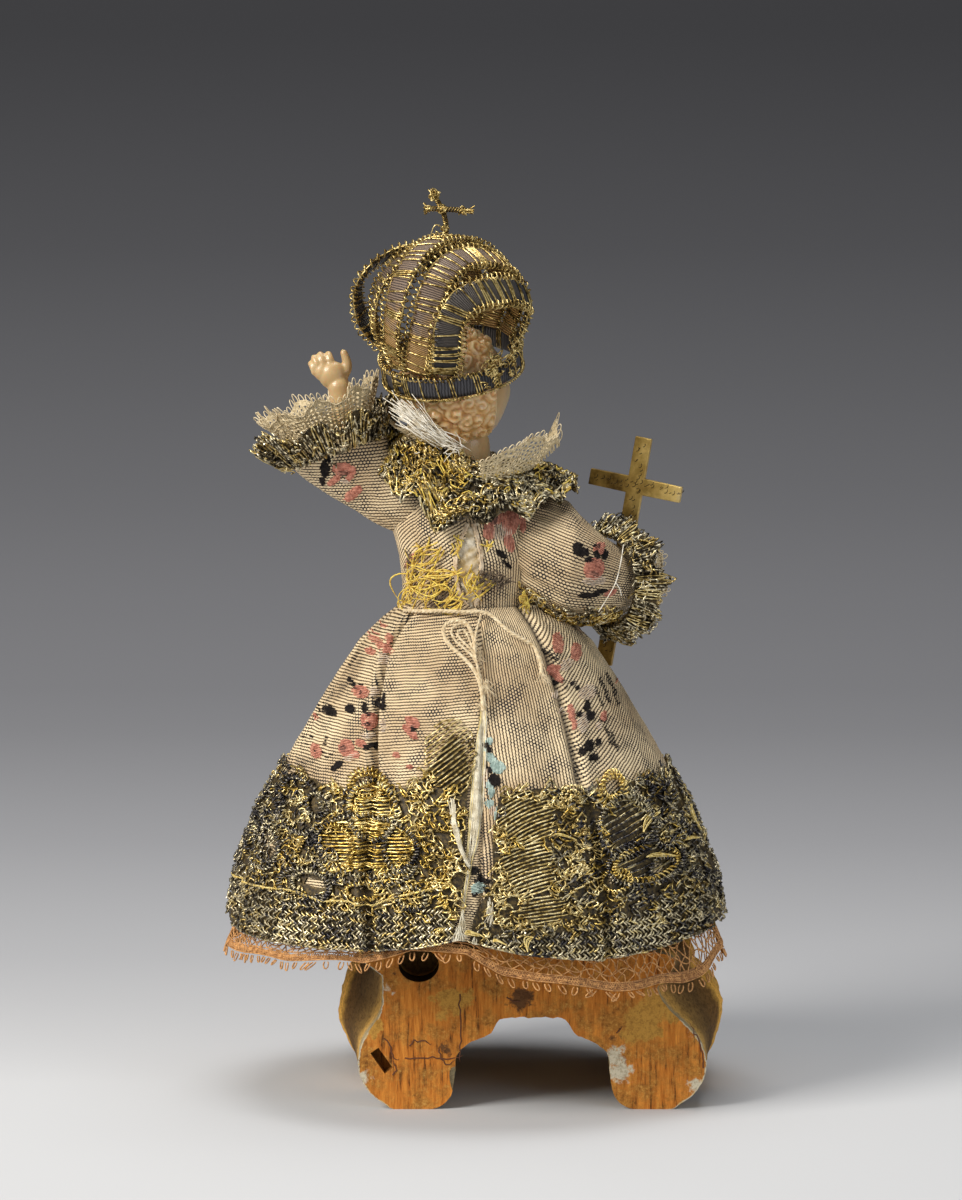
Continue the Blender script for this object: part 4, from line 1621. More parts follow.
for row, row_z in enumerate(arange(31.7, 45, 0.78)):
    lean = 0.42 if row % 2 else -0.42
    for x in arange(-43.6, 44.6, 0.8) + 0.4 * (row % 2):
        beside_slit = lace_end(LACE_END_RIGHT, row_z) - 0.5 < x < lace_end(LACE_END_LEFT, row_z) + 0.5
        if beside_slit or row_z > border_top(x) or in_ovals(x, row_z, LACE_WINDOWS):
            continue
        shift, drop = normal(0, 0.14, 2)
        stitch_x = x + shift + array([-0.42, 0, 0.42])
        stitch_z = row_z + drop + array([-lean, 0, lean])
        stitch = on_back(stitch_x, stitch_z, 0.8 + 0.3 * random() + array([-0.15, 0.2, -0.15]))
        share = random()
        (silver_lines if share < 0.42 else pale_lines if share < 0.62 else dark_lines).append(stitch)

# Loose loops fill the rest: gold beside the slit, pale at its right and blue-black at the sides
LOOP_COUNT = 2900
sample_x = uniform(-46, 46.5, LOOP_COUNT)
sample_z = uniform(31.5, 73, LOOP_COUNT)
reach_top = lace_top(angle_at(sample_x, sample_z))
kept = (sample_z < reach_top + 0.1) & ~in_ovals(sample_x, sample_z, LACE_WINDOWS, 0.5)
kept &= ~in_ovals(sample_x, sample_z, GOLD_OVALS + PALE_OVALS + DARK_OVALS, limit=0.8)
left_end, right_end = lace_end(LACE_END_LEFT, sample_z), lace_end(LACE_END_RIGHT, sample_z)
kept &= (sample_x > left_end + 0.4) | (sample_x < right_end - 0.4)
kept &= np.abs(sample_x) < skirt_radius(sample_z) * 0.95
kept &= (sample_z > border_top(sample_x)) | (random(LOOP_COUNT) < 0.12)
for x, z in zip(sample_x[kept], sample_z[kept]):
    darkness = normal(0, 5) + (x - 26 if x > 0 else -x - 19)
    loop = squiggle(on_back, x, z, uniform(0.55, 1))
    if z < 37.5:
        (silver_lines if random() < 0.6 else pale_lines if random() < 0.5 else dark_lines).append(loop)
    elif darkness > 0:
        (dark_lines if random() < 0.52 else pale_lines if random() < 0.65 else gold_lines).append(loop)
    elif x > 0:
        (gold_lines if random() < 0.5 else pale_lines).append(loop)
    else:
        (pale_lines if random() < 0.8 else dark_lines if random() < 0.5 else gold_lines).append(loop)


# More loops round both sides, where the skirt turns away
SIDE_LOOPS = 520
for _ in range(SIDE_LOOPS):
    turn = uniform(62, 112) * (1 if random() < 0.5 else -1)
    beside = lambda x, z, out=0.0: skirt(radians(turn) + asarray(x) / 46, z, out)
    loop = squiggle(beside, 0, uniform(32, 62.6), uniform(0.5, 0.9))
    (dark_lines if random() < 0.5 else silver_lines if random() < 0.5 else pale_lines).append(loop)


def on_front(x, z, out=0):
    """A point on the front of the skirt, whose lace is plainer"""
    turned = pi - np.arcsin(clip(asarray(x, float) / skirt_radius(z), -0.995, 0.995))
    return skirt(turned, z, out)


for x in arange(-42, 43, 6):
    for z in (38, 47, 56):
        if abs(x) < skirt_radius(z) * 0.95:
            pale_lines.append(coil_ring(on_front, (x, z), 1.9, 3, 0.3, 0.8))
FRONT_LOOPS = 520
for _ in range(FRONT_LOOPS):
    x, z = uniform(-45, 45), uniform(32, 61)
    if abs(x) < skirt_radius(z) * 0.98:
        (pale_lines if random() < 0.6 else dark_lines).append(squiggle(on_front, x, z, 0.8))

hem_pieces = [
    threads("hem_lace_gold", gold_lines, 0.4, bright_gold),
    threads("hem_lace_pale_gold", pale_lines, 0.4, pale_gold),
    threads("hem_lace_dark", dark_lines, 0.42, dark_silver),
    threads("hem_lace_silver", silver_lines, 0.38, silver_thread),
]
cord_edge = smooth_line([(45.6, 41.6), (41, 41.8), (33, 42.6), (28, 41.6), (23.3, 42), (19, 41.6),
                         (13.9, 43.5), (6.5, 45.5)], 120)
edge_lines = twisted(on_back(cord_edge[:, 0], cord_edge[:, 1], 1.35), 2, 0.16, 1.4)
YELLOW_ENDS = [((-39.5, 55.4), (-41.2, 50.6)), ((-38, 50.2), (-40.8, 49.6)), ((-31, 48.8), (-36.8, 47.8)),
               ((-14.2, 54.4), (-18, 53.2)), ((-33.5, 56), (-30.4, 53.2)), ((1.8, 37.2), (-1.6, 36.6)),
               ((-3.2, 35.8), (-5.6, 35.2)), ((-9.4, 33.8), (-10.4, 36.4))]
for (x0, z0), (x1, z1) in YELLOW_ENDS:
    for _ in range(7):
        t = linspace(0, 1, 8)
        bow = 0.5 * sin(pi * t) * normal(1, 0.5)
        edge_lines.append(on_back(x0 + (x1 - x0) * t + bow, z0 + (z1 - z0) * t + bow,
                                  1.25 + uniform(0, 0.3)))
hem_pieces.append(threads("hem_lace_silk_ends", edge_lines, 0.22, yellow_silk))
for piece in [hem_ground] + hem_pieces:
    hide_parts("hem_gold_lace")

# Collar and neck laces
# A wide collar of the same metal lace lies on the shoulders, and a frill of white thread net stands at
# the neck. One side of the frill has frayed to loose strands.

def in_millimetres(place, width, depth):
    """place(u, v, out) as a surface of x along the lace and z across it, in millimetres"""
    return lambda x, z, out=0.0: place(asarray(x, float) / width, asarray(z, float) / depth, out)


def lace_skin(name, place, columns, rows, material, kept=None, ring=True):
    """The ground of a lace, with only the faces whose column and row pass kept(column, row)"""
    bm = skin(columns, rows, place)
    if kept is not None:
        index = arange(len(bm.faces))
        net = kept(index % columns, index // columns)
        bmesh.ops.delete(bm, geom=[face for face, stays in zip(list(bm.faces), net) if not stays],
                         context="FACES")
    if ring:
        weld(bm)
    return show(name, mesh_of(name, bm), material)


def fan_loops(surface, start, end, low, high, spacing, wide=0.3, out=0.5):
    """Long narrow loops side by side, reaching across a lace to its edge"""
    loops = []
    for x in arange(start, end, spacing):
        t = linspace(0, 2 * pi, 11)
        reach = (high - low) * uniform(0.8, 1.1)
        loops.append(surface(x + wide * sin(t) + normal(0, 0.12) + 0.25 * sin(t / 2),
                             low + reach * (0.5 - 0.5 * cos(t)), out + 0.25 * cos(1.5 * t + x)))
    return loops


def scattered(surface, count, x_range, z_range, size, out=0.6):
    """Loose loops of thread all over a lace"""
    return [squiggle(surface, uniform(*x_range), uniform(*z_range), uniform(0.75, 1.25) * size, out)
            for _ in range(count)]


def collar(u, v, out=0):
    turn = 2 * pi * asarray(u, float)
    v = asarray(v, float)
    side = sin(turn)
    wave = 1.1 * sin(14 * turn) + 0.5 * sin(5 * turn)
    outer_z = wave + interp(side, [-1, -0.85, -0.4, 0, 0.14, 0.38, 0.5, 0.72, 1],
                            [115, 112.4, 111, 110, 107.8, 108.2, 112.4, 114.8, 119])
    inner_z = 120.4 + np.where(side > 0, 4.5, 1.6) * side
    middle_z = (inner_z + outer_z) / 2 + 1.2 + 2.2 * clip(side, 0, 1) ** 2 - 0.5 * wave
    stops = [0, 0.5, 1]
    half_width = interp(v, stops, [7.2, 14.1, 19.7])
    half_depth = interp(v, stops, [7, 10.7, 13.5])
    z = np.where(v < 0.5, inner_z + (middle_z - inner_z) * v * 2, middle_z + (outer_z - middle_z)
                 * (v * 2 - 1))
    return coords(0.6 + (half_width + 0.6 * out) * side, (half_depth + 0.6 * out) * cos(turn),
                  z + 0.8 + 0.7 * out)


COLLAR_WIDTH, COLLAR_DEPTH = 84, 14.5
collar_surface = in_millimetres(collar, COLLAR_WIDTH, COLLAR_DEPTH)
collar_ground = lace_skin("collar_lace_ground", collar, 160, 12, gold_ground)
LEFT_BACK, RIGHT_BACK = (0, 24), (60, 84)
black_white = metal_thread("black_and_silver_thread", (0.008, 0.006, 0.005), (0.15, 0.12, 0.07),
                           (0.95, 0.84, 0.58))
collar_gold = scattered(collar_surface, 150, LEFT_BACK, (1, 14), 0.62)
collar_gold += scattered(collar_surface, 30, RIGHT_BACK, (1, 14), 0.6)
collar_pale = scattered(collar_surface, 260, LEFT_BACK, (1, 14.2), 0.62)
collar_pale += scattered(collar_surface, 90, RIGHT_BACK, (1, 14), 0.62)
collar_dark = scattered(collar_surface, 110, LEFT_BACK, (1, 14.2), 0.62)
collar_dark += scattered(collar_surface, 260, RIGHT_BACK, (1, 14.2), 0.62)
collar_dark += fan_loops(collar_surface, *RIGHT_BACK, 8.5, 15, 1.1)
collar_dark += fan_loops(collar_surface, *LEFT_BACK, 9.5, 15, 1.6)
collar_pale += fan_loops(collar_surface, 24, 60, 1.5, 15, 1.7, 0.5)
collar_dark += scattered(collar_surface, 170, (24, 60), (1, 14), 0.7)
collar_yellow = scattered(collar_surface, 34, LEFT_BACK, (3, 14), 0.7, 0.9)
collar_yellow += scattered(collar_surface, 18, RIGHT_BACK, (3, 14), 0.6, 0.9)
collar_pieces = [
    threads("collar_lace_gold", collar_gold, 0.36, bright_gold),
    threads("collar_lace_pale", collar_pale, 0.36, pale_gold),
    threads("collar_lace_dark", collar_dark, 0.38, black_white),
    threads("collar_lace_yellow", collar_yellow, 0.24, frayed_yellow),
]
for piece in [collar_ground] + collar_pieces:
    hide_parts("collar_gold_lace")


def ruffle(centre, axis, across, inner, outer, lift, waves, wave, start=0, end=360):
    """A gathered frill round an axis: its place(u, v, out), its width and its depth"""
    centre, across, upward = array(centre, float), array(across, float), unit(axis)
    side = unit(across - upward * (across @ upward))
    up = np.cross(upward, side)
    run, rise = outer - inner, lift[1] - lift[0]
    slant = np.hypot(run, rise)

    def place(u, v, out=0):
        turn = radians(start + (end - start) * asarray(u, float))
        v = asarray(v, float)
        radius = inner + (run + 0.5 * wave * cos(waves * turn * 1.37 + 0.6)) * v + out * rise / slant
        height = lift[0] + (rise + wave * sin(waves * turn)) * v - out * run / slant
        around = cos(turn)[..., None] * side + sin(turn)[..., None] * up
        return centre + radius[..., None] * around + height[..., None] * upward
    return place, radians(end - start) * (inner + outer) / 2, slant


white_thread = lace_colours("white_lace_thread", (0.5, 0.38, 0.2), (0.84, 0.7, 0.46), scale=900)
white_ground = lace_colours("white_lace_ground", (0.4, 0.3, 0.15), (0.76, 0.62, 0.38), scale=1900)
white_silk = lace_colours("white_silk", (0.58, 0.5, 0.36), (0.92, 0.87, 0.76), scale=700)


def white_net(name, frill, picot, ring):
    """White thread lace: a net with open meshes, cords along it and picots at its edge"""
    place, width, depth = frill
    surface = in_millimetres(place, width, depth)
    columns, rows = int(width / 0.42), max(int(depth / 0.42), 4)
    ground = lace_skin(name + "_ground", lambda u, v: place(u, 0.95 * v), columns, rows, white_ground,
                       lambda i, j: ((i + 2 * j) % 4 != 0) | (j < 1) | (j > rows - 3), ring)
    lines = []
    for level in (0.35, 0.72, 0.93):
        x = linspace(0, width, int(width * 3))
        lines.append(surface(x, depth * level + 0.22 * sin(x * 3.3), 0.14 + 0.1 * cos(x * 3.3)))
    for x in arange(0.3, width - 0.3, 0.95):
        t = linspace(-0.9, pi + 0.9, 11)
        size = picot * uniform(0.8, 1.25)
        lines.append(surface(x + 0.34 * cos(t) + normal(0, 0.06), depth - 0.3 + size * sin(t), 0.1))
    for x in arange(0.5, width - 0.5, 1.9):
        t = linspace(0, 2 * pi, 9)
        lines.append(surface(x + 0.4 * cos(t), 0.54 * depth + 0.5 * sin(t), 0.2))
    return ground, threads(name + "_threads", lines, 0.2, white_thread)


# The frill's upper edge beside the neck, as shares of its width and heights
FAN_EDGE = [(0, 121.6), (0.3, 124.8), (0.52, 126.6), (0.68, 124.9), (0.8, 126), (0.87, 129), (0.93, 127.4),
            (1, 123.4)]


def neck_fan(u, v, out=0):
    """The right side of the neck frill, standing up from the collar and leaning outward"""
    u, v = np.broadcast_arrays(asarray(u, float), asarray(v, float))
    top = interp(u, *array(FAN_EDGE).T)
    turn = radians(92) * u
    flute = 0.55 * sin(26 * u) * v
    radius = 9.4 + 5.6 * v + flute + out
    return coords(-0.9 - radius * sin(turn), 1.2 + (0.6 * radius + 3.6) * cos(turn), 117.6 + (top - 117.6)
                  * v)


neck_right = (neck_fan, 20, 8.6)
neck_left = ruffle((2, 0, 121), (0.2, 0.05, 1), (0, 1, 0), 8.2, 12.6, (4, 9.4), 8, 0.8, -88, -14)
neck_right_pieces = white_net("neck_lace_right", neck_right, 0.8, False)
neck_left_pieces = white_net("neck_lace_left", neck_left, 0.6, False)
for node_name, pieces in (("neck_lace_right", neck_right_pieces), ("neck_lace_left", neck_left_pieces)):
    for piece in pieces:
        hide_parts(node_name)

# The strip's threads have come loose: a bundle from behind the cheek to the neck, and single strands
frayed_lines = []
for _ in range(64):
    t = linspace(0, 1, 12)[:, None]
    top = array([13.8, 7.2, 131.2]) + normal(0, 1, 3) * [1.3, 0.7, 1.5]
    low = array([3.4, 11.8, 123.7]) + normal(0, 1, 3) * [1.6, 0.4, 0.5]
    bow = array([0.2, 2.6, 0.2]) + normal(0, 0.4, 3)
    curl = 0.16 * sin(9 * t + uniform(0, 6, 3))
    frayed_lines.append(top + (low - top) * t * uniform(0.55, 1.05) + bow * sin(pi * t) + curl)
for _ in range(10):
    t = linspace(0, 1, 12)[:, None]
    start = array([5, 12.6, 124]) + normal(0, 1, 3) * [2.6, 0.3, 0.8]
    frayed_lines.append(start + normal(0, 1, 3) * [2.6, 0.5, 1.6] * t + 0.4 * sin(5 * t + uniform(0, 6, 3))
                        * t)
frayed_white = threads("neck_lace_frayed_strands", frayed_lines, 0.18, white_silk, taper=True)


# Cuff laces
# Each sleeve's mouth has a gathered ruffle of metal lace with a frill of white lace inside it. The
# lowered cuff has rucked up round the fist, and its lining silk has frayed below the sleeve.

raised_mouth, raised_axis, _ = SLEEVE_TABLE["raised"][-1]
lowered_mouth, lowered_axis, _ = SLEEVE_TABLE["lowered"][-1]
raised_gold = ruffle(raised_mouth, raised_axis, (1, 0, 0), 10.4, 14.4, (-2.2, 3.2), 10, 1.2)
raised_white = ruffle(raised_mouth, raised_axis, (1, 0, 0), 8.4, 11.8, (2.2, 8), 9, 1)
lowered_gold = ruffle(lowered_mouth, (-0.74, -0.66, 0), (0, 0, 1), 8.6, 11.7, (-2.4, 1.8), 9, 1)
lowered_white = ruffle(lowered_mouth, lowered_axis, (0, 0, 1), 4.8, 9, (2.2, 5), 8, 0.7, 20, 195)


def metal_ruffle(name, frill, dark_share, loops):
    """A gathered ruffle of metal lace: a dark ground, radiating loops and loose coils"""
    place, width, depth = frill
    surface = in_millimetres(place, width, depth)
    ground = lace_skin(name + "_ground", place, int(width / 0.6), 6, gold_ground)
    pale, dark = [], []
    for facing in (0.5, -0.5):
        fans = fan_loops(surface, 0, width, 0.2, depth + 0.6, 0.95, 0.32, facing)
        fans += scattered(surface, loops, (0, width), (0.2, depth), 0.55, facing)
        for line in fans:
            (dark if random() < dark_share else pale).append(line)
    return [ground, threads(name + "_pale", pale, 0.34, pale_gold),
            threads(name + "_dark", dark, 0.36, black_white)]


cuff_pieces = {
    "raised_cuff_gold_lace": metal_ruffle("raised_cuff", raised_gold, 0.72, 170),
    "lowered_cuff_gold_lace": metal_ruffle("lowered_cuff", lowered_gold, 0.62, 130),
    "raised_cuff_white_lace": list(white_net("raised_cuff_net", raised_white, 1.3, True)),
    "lowered_cuff_white_lace": list(white_net("lowered_cuff_net", lowered_white, 0.7, False)),
}
for node_name, pieces in cuff_pieces.items():
    for piece in pieces:
        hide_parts(node_name)

# The frayed lace under the lowered sleeve, the thread across it and the loose ends that hang from it
def rucked(x, z, out=0):
    """A point over the lowered sleeve, round it from its underside and along it, in millimetres"""
    return lowered_sleeve(0.2 + asarray(x, float) / 60, asarray(z, float) / 24, out)


under_yellow, under_dark = [], []
for _ in range(190):
    line = squiggle(rucked, uniform(-5, 4), uniform(4, 21), 0.75, 0.7)
    (under_yellow if random() < 0.55 else under_dark).append(line)
under_sleeve = [threads("lowered_cuff_frayed_gold", under_yellow, 0.36, bright_gold),
                threads("lowered_cuff_frayed_dark", under_dark, 0.34, black_white)]
loose_ends = []
for _ in range(16):
    t = linspace(0, 1, 12)
    start = array([-18.5, 2.5, 91]) + normal(0, 1, 3) * [1.6, 0.8, 0.4]
    loose_ends.append(start + coords(-1.2 * t * random() + 0.5 * sin(5 * t), 0.4 * t, -uniform(1.5, 5.5)
                                     * t + 0.3 * sin(8 * t)))
under_sleeve.append(threads("lowered_cuff_loose_ends", loose_ends, 0.16, frayed_brown))
WHITE_THREAD = [(-28, 6.6, 105), (-27.4, 8.2, 101.5), (-26.5, 9, 98.1), (-25, 9.8, 95.4),
                (-23.3, 9.6, 92.6)]
THREAD_END = [(-26.5, 9, 98.1), (-27.3, 8.8, 96.8), (-27.6, 8.4, 95.5)]
crossing = [smooth_line(WHITE_THREAD, 30), smooth_line(THREAD_END, 12)]
under_sleeve.append(threads("lowered_cuff_white_thread", crossing, 0.2, white_silk))

cuff_pieces["lowered_cuff_gold_lace"] += under_sleeve

# Crown
# Strips of card are bound with silk and metal thread, wrapped with gilt wire and edged with coils of
# it. A band holds them round the head, and a twisted wire cross tops them.

CROWN_CENTRE = array([4.4, 0, 139])
CROWN_AXIS = unit([0.12, 0.29, 0.95])
CROWN_RADIUS = 13.1
BAND_HEIGHT = 4.2
# Each strip's width and its way from the rim at the back to the rim at the front, as left, back and up
STRIPS = [
    (4.8, [[9.6, -5.4, 2.9], [13, -5.2, 5.2], [15.6, -5, 10.2], [15.4, -5.5, 15], [13, -6.2, 18],
           [9.4, -7.7, 19.4], [4.8, -10.2, 18.6], [0.6, -12.9, 15], [-0.4, -13.4, 8.5], [0.2, -11.1, 2.8]]),
    (3.8, [[10.7, 0.2, 2.8], [12.9, 1, 8.5], [12.6, 1.6, 13.6], [10.8, 1.6, 18.2], [7.2, 0.2, 21.2],
           [3.4, -3.4, 22.2], [-0.6, -7.6, 20.8], [-4.4, -11.4, 16], [-5.6, -12.6, 9], [-4.4, -10.3, 2.8]]),
    (4.4, [[9.4, 5.2, 2.7], [10.1, 7, 8.5], [9.1, 8.2, 14.6], [7.4, 7.2, 19.4], [5, 4.6, 22.2],
           [2.6, 1.4, 23.4],
           [-0.9, -3.2, 23.2], [-5.8, -8.4, 20], [-10, -11.6, 14], [-9.8, -11, 8], [-7.3, -8.5, 2.8]]),
    (4.9, [[6.4, 8.8, 2.7], [5, 11.2, 8.5], [3.3, 12.4, 14.6], [1.4, 11.4, 19.2], [-0.9, 9.3, 21.8],
           [-4.2, 5.9, 22.6], [-9.4, 0.8, 20], [-12.9, -4, 15], [-13.2, -5.2, 8.5], [-10.4, -4.1, 2.8]]),
    (4.8, [[1.6, 11, 2.8], [0.4, 13.6, 8], [-0.6, 14.6, 13.2], [-2.8, 14.2, 16.6], [-5.6, 12.5, 17.8],
           [-9.2, 9.6, 17], [-13, 5, 14.6], [-15.3, 1, 10.6], [-14, 1.2, 6], [-11.1, 1.4, 2.8]]),
]
crown_back = unit(array([0, 1, 0]) - CROWN_AXIS * CROWN_AXIS[1])
crown_left = np.cross(crown_back, CROWN_AXIS)


def in_crown(spots):
    """Points of the crown, from how far left, back and up they are from the band's middle"""
    left, back, up = (part[..., None] for part in np.moveaxis(asarray(spots, float), -1, 0))
    return CROWN_CENTRE + left * crown_left + back * crown_back + up * CROWN_AXIS


def strip_frame(route, steps=140):
    """The middle line of a strip with the directions across it and out of it"""
    line = smooth_line(in_crown(route), steps)
    ahead = unit(np.gradient(line, axis=0))
    out = line - in_crown([0, 0, 7])
    out = unit(out - ahead * (out * ahead).sum(axis=1)[:, None])
    return line, np.cross(ahead, out), out


def wound_thread(name, upper, lower, groove):
    """Thread wound side by side across a strip, which changes colour along it"""
    material, tree, shader = new_material(name, roughness=0.5, metallic=0.1)
    node(tree, "SeparateXYZ", {0: node(tree, "UVMap", uv_map="share")})
    along, across = outputs_of(tree, "X", "Y")
    waver = noise(tree, object_place(tree), 700, 2)
    lean = calc(tree, "ADD", calc(tree, "MULTIPLY", across, 0.006), calc(tree, "MULTIPLY", waver, 0.004))
    turn = calc(tree, "ABSOLUTE",
                calc(tree, "SINE", calc(tree, "MULTIPLY", calc(tree, "ADD", along, lean), 430)))
    low = span(tree, calc(tree, "ABSOLUTE", calc(tree, "SUBTRACT", along, 0.42)), 0.12, 0.34)
    patchy = noise(tree, object_place(tree), 330, 3)
    low = calc(tree, "ADD", low, calc(tree, "MULTIPLY", calc(tree, "SUBTRACT", patchy, 0.5), 1.6))
    tone = ramp(tree, low, (0.3, upper), (0.75, lower))
    shade = ramp(tree, turn, (0.12, groove), (0.5, (0.8, 0.8, 0.8)), (0.9, (1.2, 1.15, 1.05)))
    look(tree, shader, mix(tree, 1, tone, shade, "MULTIPLY"), turn, 0.9)
    return material


GROOVE = (0.1, 0.08, 0.07)
golden_bound = wound_thread("golden_bound_thread", (0.11, 0.078, 0.055), (0.26, 0.15, 0.04), GROOVE)
pink_bound = wound_thread("pinkish_bound_thread", (0.17, 0.12, 0.09), (0.36, 0.21, 0.065), GROOVE)
dark_bound = wound_thread("dark_bound_thread", (0.075, 0.065, 0.06), (0.03, 0.03, 0.038), GROOVE)
gold_wire = metal_thread("gilt_wire", (0.11, 0.068, 0.02), (0.43, 0.3, 0.095), (0.8, 0.63, 0.28),
                         roughness=0.34)


def bowed_strip(name, width, route, material):
    """A flat strip, its wraps of wire and the coils along both its edges"""
    line, across, out = strip_frame(route)
    half = width / 2

    def on_strip(share, side, level):
        return picked(share, line) + side * picked(share, across) + level * picked(share, out)

    def place(u, v):
        turn = 2 * pi * v
        side = clip(1.35 * cos(turn), -1, 1)[:, None] * (half + 0.05)
        level = (0.45 * sin(turn) + 0.42)[:, None]
        return on_strip(u, side, level)

    bm = skin(220, 12, place, ring=True)
    close_ends(bm)
    strip = show(name, mesh_of(name, bm), material)
    length = distances(line)[-1]
    wires = []
    place_along = 0.6
    while place_along < length - 1:
        turn = linspace(0, 2 * pi, 13)
        lean = uniform(0.1, 0.8) * cos(turn)
        share = clip((place_along + lean) / length, 0, 1)
        side = clip(1.35 * cos(turn), -1, 1)[:, None] * (half + 0.2)
        level = (0.62 * sin(turn) + 0.42)[:, None]
        wires.append(on_strip(share, side, level))
        place_along += chance.choice([0.4, 1.1, 1.8, 2.6], p=[0.35, 0.3, 0.2, 0.15])
    for edge in (-1, 1):
        turns = int(length / 1.2)
        t = linspace(0, 1, turns * 8)
        wind = 2 * pi * turns * t
        loop = 0.74 + 0.1 * sin(t * 37 + edge) + 0.08 * sin(t * 91)
        side = edge * (half + 0.4) + loop * cos(wind)
        level = 0.55 + loop * sin(wind)
        wires.append(on_strip(t, side[:, None], level[:, None]))
        t, wind = t[::4], wind[::4]
        core = edge * (half + 0.1) + 0.12 * sin(wind / 5)
        wires.append(on_strip(t, core[:, None], 0.5))
    return strip, threads(name + "_wires", wires, 0.34, gold_wire)


bindings = (dark_bound, golden_bound, pink_bound, pink_bound, dark_bound)
for index, ((width, route), material) in enumerate(zip(STRIPS, bindings), 1):
    for piece in bowed_strip(f"crown_strip_{index}_bound", width, route, material):
        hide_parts(f"crown_strip_{index}")


# The band: dark thread bound round it, wire in twos and threes, and twisted wire along its edges
def band_place(u, v):
    turn, round_it = 2 * pi * u, 2 * pi * v
    radius = CROWN_RADIUS - 0.35 + 0.5 * cos(round_it) + 0.15 * sin(round_it)
    return on_band(turn, radius, (BAND_HEIGHT / 2 - 0.2) * clip(1.3 * sin(round_it), -1, 1))


def on_band(turn, radius, height):
    turn, radius, height = np.broadcast_arrays(turn, radius, height)
    return in_crown(coords(radius * sin(turn), radius * cos(turn), height))


dark_band = wound_thread("dark_band_thread", (0.1, 0.095, 0.1), (0.045, 0.045, 0.055), GROOVE)
band = show("crown_band_bound", mesh_of("crown_band_bound", skin(360, 14, band_place, ring=True)),
            dark_band)
band_wires = []
place_round = 0.0
while place_round < 2 * pi - 0.1:
    for extra in range(chance.integers(1, 4)):
        turn = linspace(0, 2 * pi, 11)
        radius = CROWN_RADIUS - 0.3 + 0.62 * cos(turn)
        height = (BAND_HEIGHT / 2 + 0.05) * clip(1.3 * sin(turn), -1, 1)
        band_wires.append(on_band(place_round + 0.04 * extra + 0.035 * sin(turn), radius, height))
    place_round += uniform(0.22, 0.38)
round_turns = linspace(0, 2 * pi, 700)
for height, reach, wind in ((-BAND_HEIGHT / 2 - 0.05, 0.22, 120), (-BAND_HEIGHT / 2 - 0.05, 0.22, 120.5),
                            (BAND_HEIGHT / 2, 0.5, 78)):
    shift = pi * (wind % 1) * 2
    band_wires.append(on_band(round_turns, CROWN_RADIUS + 0.25 + reach * cos(wind * round_turns + shift),
                              height + reach * sin(wind * round_turns + shift)))

# Tangles of loose wire, as angle from the back and count
for middle, count in ((-0.62, 34), (-0.95, 18), (0.9, 8)):
    for _ in range(count):
        t = linspace(0, uniform(3, 8), 16)
        size = uniform(0.4, 0.9)
        turn = middle + normal(0, 0.08) + size * cos(t) / CROWN_RADIUS
        band_wires.append(on_band(turn, CROWN_RADIUS + 0.7 + 0.4 * sin(1.3 * t), uniform(-1.6, 4.4) + size
                                  * sin(t + uniform(0, 1)) + 0.12 * t))
band_wire = threads("crown_band_wires", band_wires, 0.3, gold_wire)
for piece in (band, band_wire):
    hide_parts("crown_band")

# The finial: wire twisted into a knotted cross, with loops at its ends and stray ones at its foot
finial_base = in_crown([-1.9, -3, 24])
cross_foot = finial_base - [0, 0, 0.9]
cross_neck = finial_base + [0.7, 0, 5.2]
cross_top = finial_base + [2.2, 0, 8]
arm_left = finial_base + [3.4, 0, 5.4]
arm_right = finial_base + [-4.2, 0, 5]
finial_lines = twisted(smooth_line([cross_foot, finial_base + [0, 0, 2.6], cross_neck, cross_top], 70), 4,
                       0.4, 1.7)
finial_lines += twisted(smooth_line([arm_left, cross_neck + [0, 0.3, 0.2], arm_right], 60), 3, 0.42, 1.6)
KNOTS = [(cross_top, 0.95, 16), (arm_left, 0.8, 12), (cross_neck, 0.95, 16),
         (arm_right + [1, 0, 0], 0.6, 8), (finial_base + [0.2, 0, 1.6], 0.75, 10), (cross_foot, 0.9, 10)]
for knot, size, count in KNOTS:
    for _ in range(count):
        t = linspace(0, 2 * pi * uniform(0.6, 1.3), 14)
        first, second = unit(normal(0, 1, (2, 3)))
        middle = knot + normal(0, 0.22, 3)
        loop = size * uniform(0.5, 1)
        finial_lines.append(middle + loop * (cos(t)[:, None] * first + sin(t)[:, None] * second))
for _ in range(9):
    t = linspace(0, 1, 8)[:, None]
    start = arm_right + [1.2, 0, 0] + normal(0, 0.2, 3)
    finial_lines.append(start + array([-1.9, 0.2, 0.1]) * t + normal(0, 0.5, 3) * t ** 2)
STRAY_LOOP = [[3, 1, 0.2], [2.6, 1.4, 2.2], [1.8, 1.6, 3.4], [0.4, 1.8, 2.6], [0.8, 2, 1.2],
              [1.8, 1.8, 2.2], [1.6, 1.4, 0.4]]
finial_lines.append(smooth_line(cross_foot + array(STRAY_LOOP), 60))
finial = threads("crown_cross_wires", finial_lines, 0.3, gold_wire)
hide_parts("crown_cross")

# Hand cross
# A flat cross cut from sheet brass. Its face is engraved and both sides are worn and scratched.

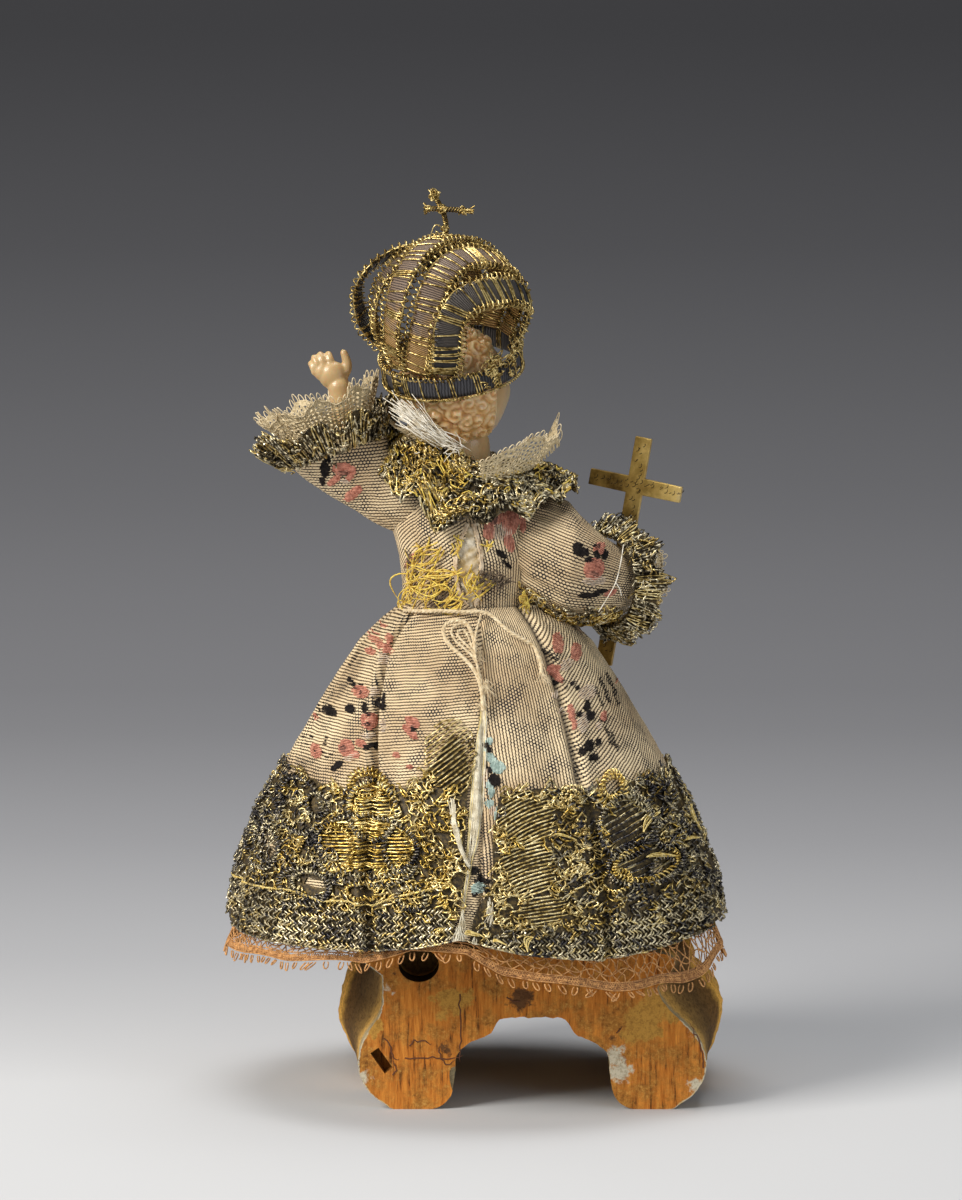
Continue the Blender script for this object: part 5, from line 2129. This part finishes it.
CROSS_WIDTH = 3.2
CROSS_THICKNESS = 1.1
CROSS_ARMS = 18.4
ARMS_LEVEL = 0.79
cross_length = float(np.linalg.norm(CROSS_TOP - CROSS_FOOT))
cross_bm = bmesh.new()
CROSS_BEVEL = 0.12
half = CROSS_WIDTH / 2
level = cross_length * ARMS_LEVEL
arm = CROSS_ARMS / 2
cross_outline = [
    (-half, 0), (half, 0), (half, level - half), (arm, level - half * 0.95), (arm, level + half * 0.95),
    (half, level + half), (half, cross_length), (-half, cross_length), (-half, level + half),
    (-arm, level + half * 0.95), (-arm, level - half * 0.95), (-half, level - half),
]
corners = [cross_bm.verts.new(to_row(CROSS_FOOT + cross_across * x + cross_up * z - cross_facing
                                     * CROSS_THICKNESS / 2)) for x, z in cross_outline]
plate = cross_bm.faces.new(corners)
raised = bmesh.ops.extrude_face_region(cross_bm, geom=[plate])["geom"]
raised = [item for item in raised if isinstance(item, bmesh.types.BMVert)]
bmesh.ops.translate(cross_bm, verts=raised, vec=cross_facing * CROSS_THICKNESS * MILLIMETRE)
bmesh.ops.recalc_face_normals(cross_bm, faces=cross_bm.faces)
bmesh.ops.bevel(cross_bm, geom=cross_bm.edges[:], offset=CROSS_BEVEL * MILLIMETRE, affect="EDGES", segments=2,
                profile=0.5, material=-1)
brass, tree, shader = new_material("worn_brass", roughness=0.42, metallic=0.85)
spot = object_place(tree)
wear = noise(tree, spot, 240, 6, roughness=0.7)
fine = noise(tree, node(tree, "Mapping", {"Vector": spot, "Scale": (1, 1, 0.2)}), 1700, 3)
node(tree, "SeparateXYZ", {0: spot})
sideways = span(tree, *outputs_of(tree, "X"), -0.027, -0.036)
tarnish = calc(tree, "ADD", calc(tree, "MULTIPLY", wear, 0.7), calc(tree, "MULTIPLY", sideways, 0.25))
tarnished = ramp(tree, tarnish, (0.28, (0.15, 0.085, 0.02)), (0.46, (0.55, 0.35, 0.09)),
                 (0.6, (0.85, 0.6, 0.2)), (0.75, (0.78, 0.62, 0.34)))
look(tree, shader, tarnished, fine, 0.35)
hand_cross = show("hand_cross_plate", mesh_of("hand_cross_plate", cross_bm, smooth=False), brass)

# Rows of shallow strokes on both faces, which aren't letters
stroke_lines = []
for face in (-1, 1):
    for across_share, level_share, along_arm in ([(0, z, False) for z in arange(0.05, 0.97, 0.035)]
                                                 + [(x, ARMS_LEVEL, True)
                                                    for x in arange(-0.9, 0.95, 0.14)]):
        for _ in range(2):
            x = across_share * arm + uniform(-0.9, 0.9) * (0.5 if along_arm else 1)
            z = level_share * cross_length + uniform(-0.7, 0.7)
            t = linspace(0, uniform(0.8, 2.6), 5)
            size = uniform(0.3, 0.6)
            spots = [x + size * sin(t), z + size * (1 - cos(t))]
            stroke_lines.append(CROSS_FOOT + spots[0][:, None] * cross_across + spots[1][:, None]
                                * cross_up + face * CROSS_THICKNESS / 2 * cross_facing)
dark_stroke, tree, shader = new_material("engraved_strokes", roughness=0.7, metallic=0.6,
                                         Base_Color=colour(0.06, 0.035, 0.012))
strokes = threads("hand_cross_strokes", stroke_lines, 0.14, dark_stroke)
for piece in (hand_cross, strokes):
    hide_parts("hand_cross")
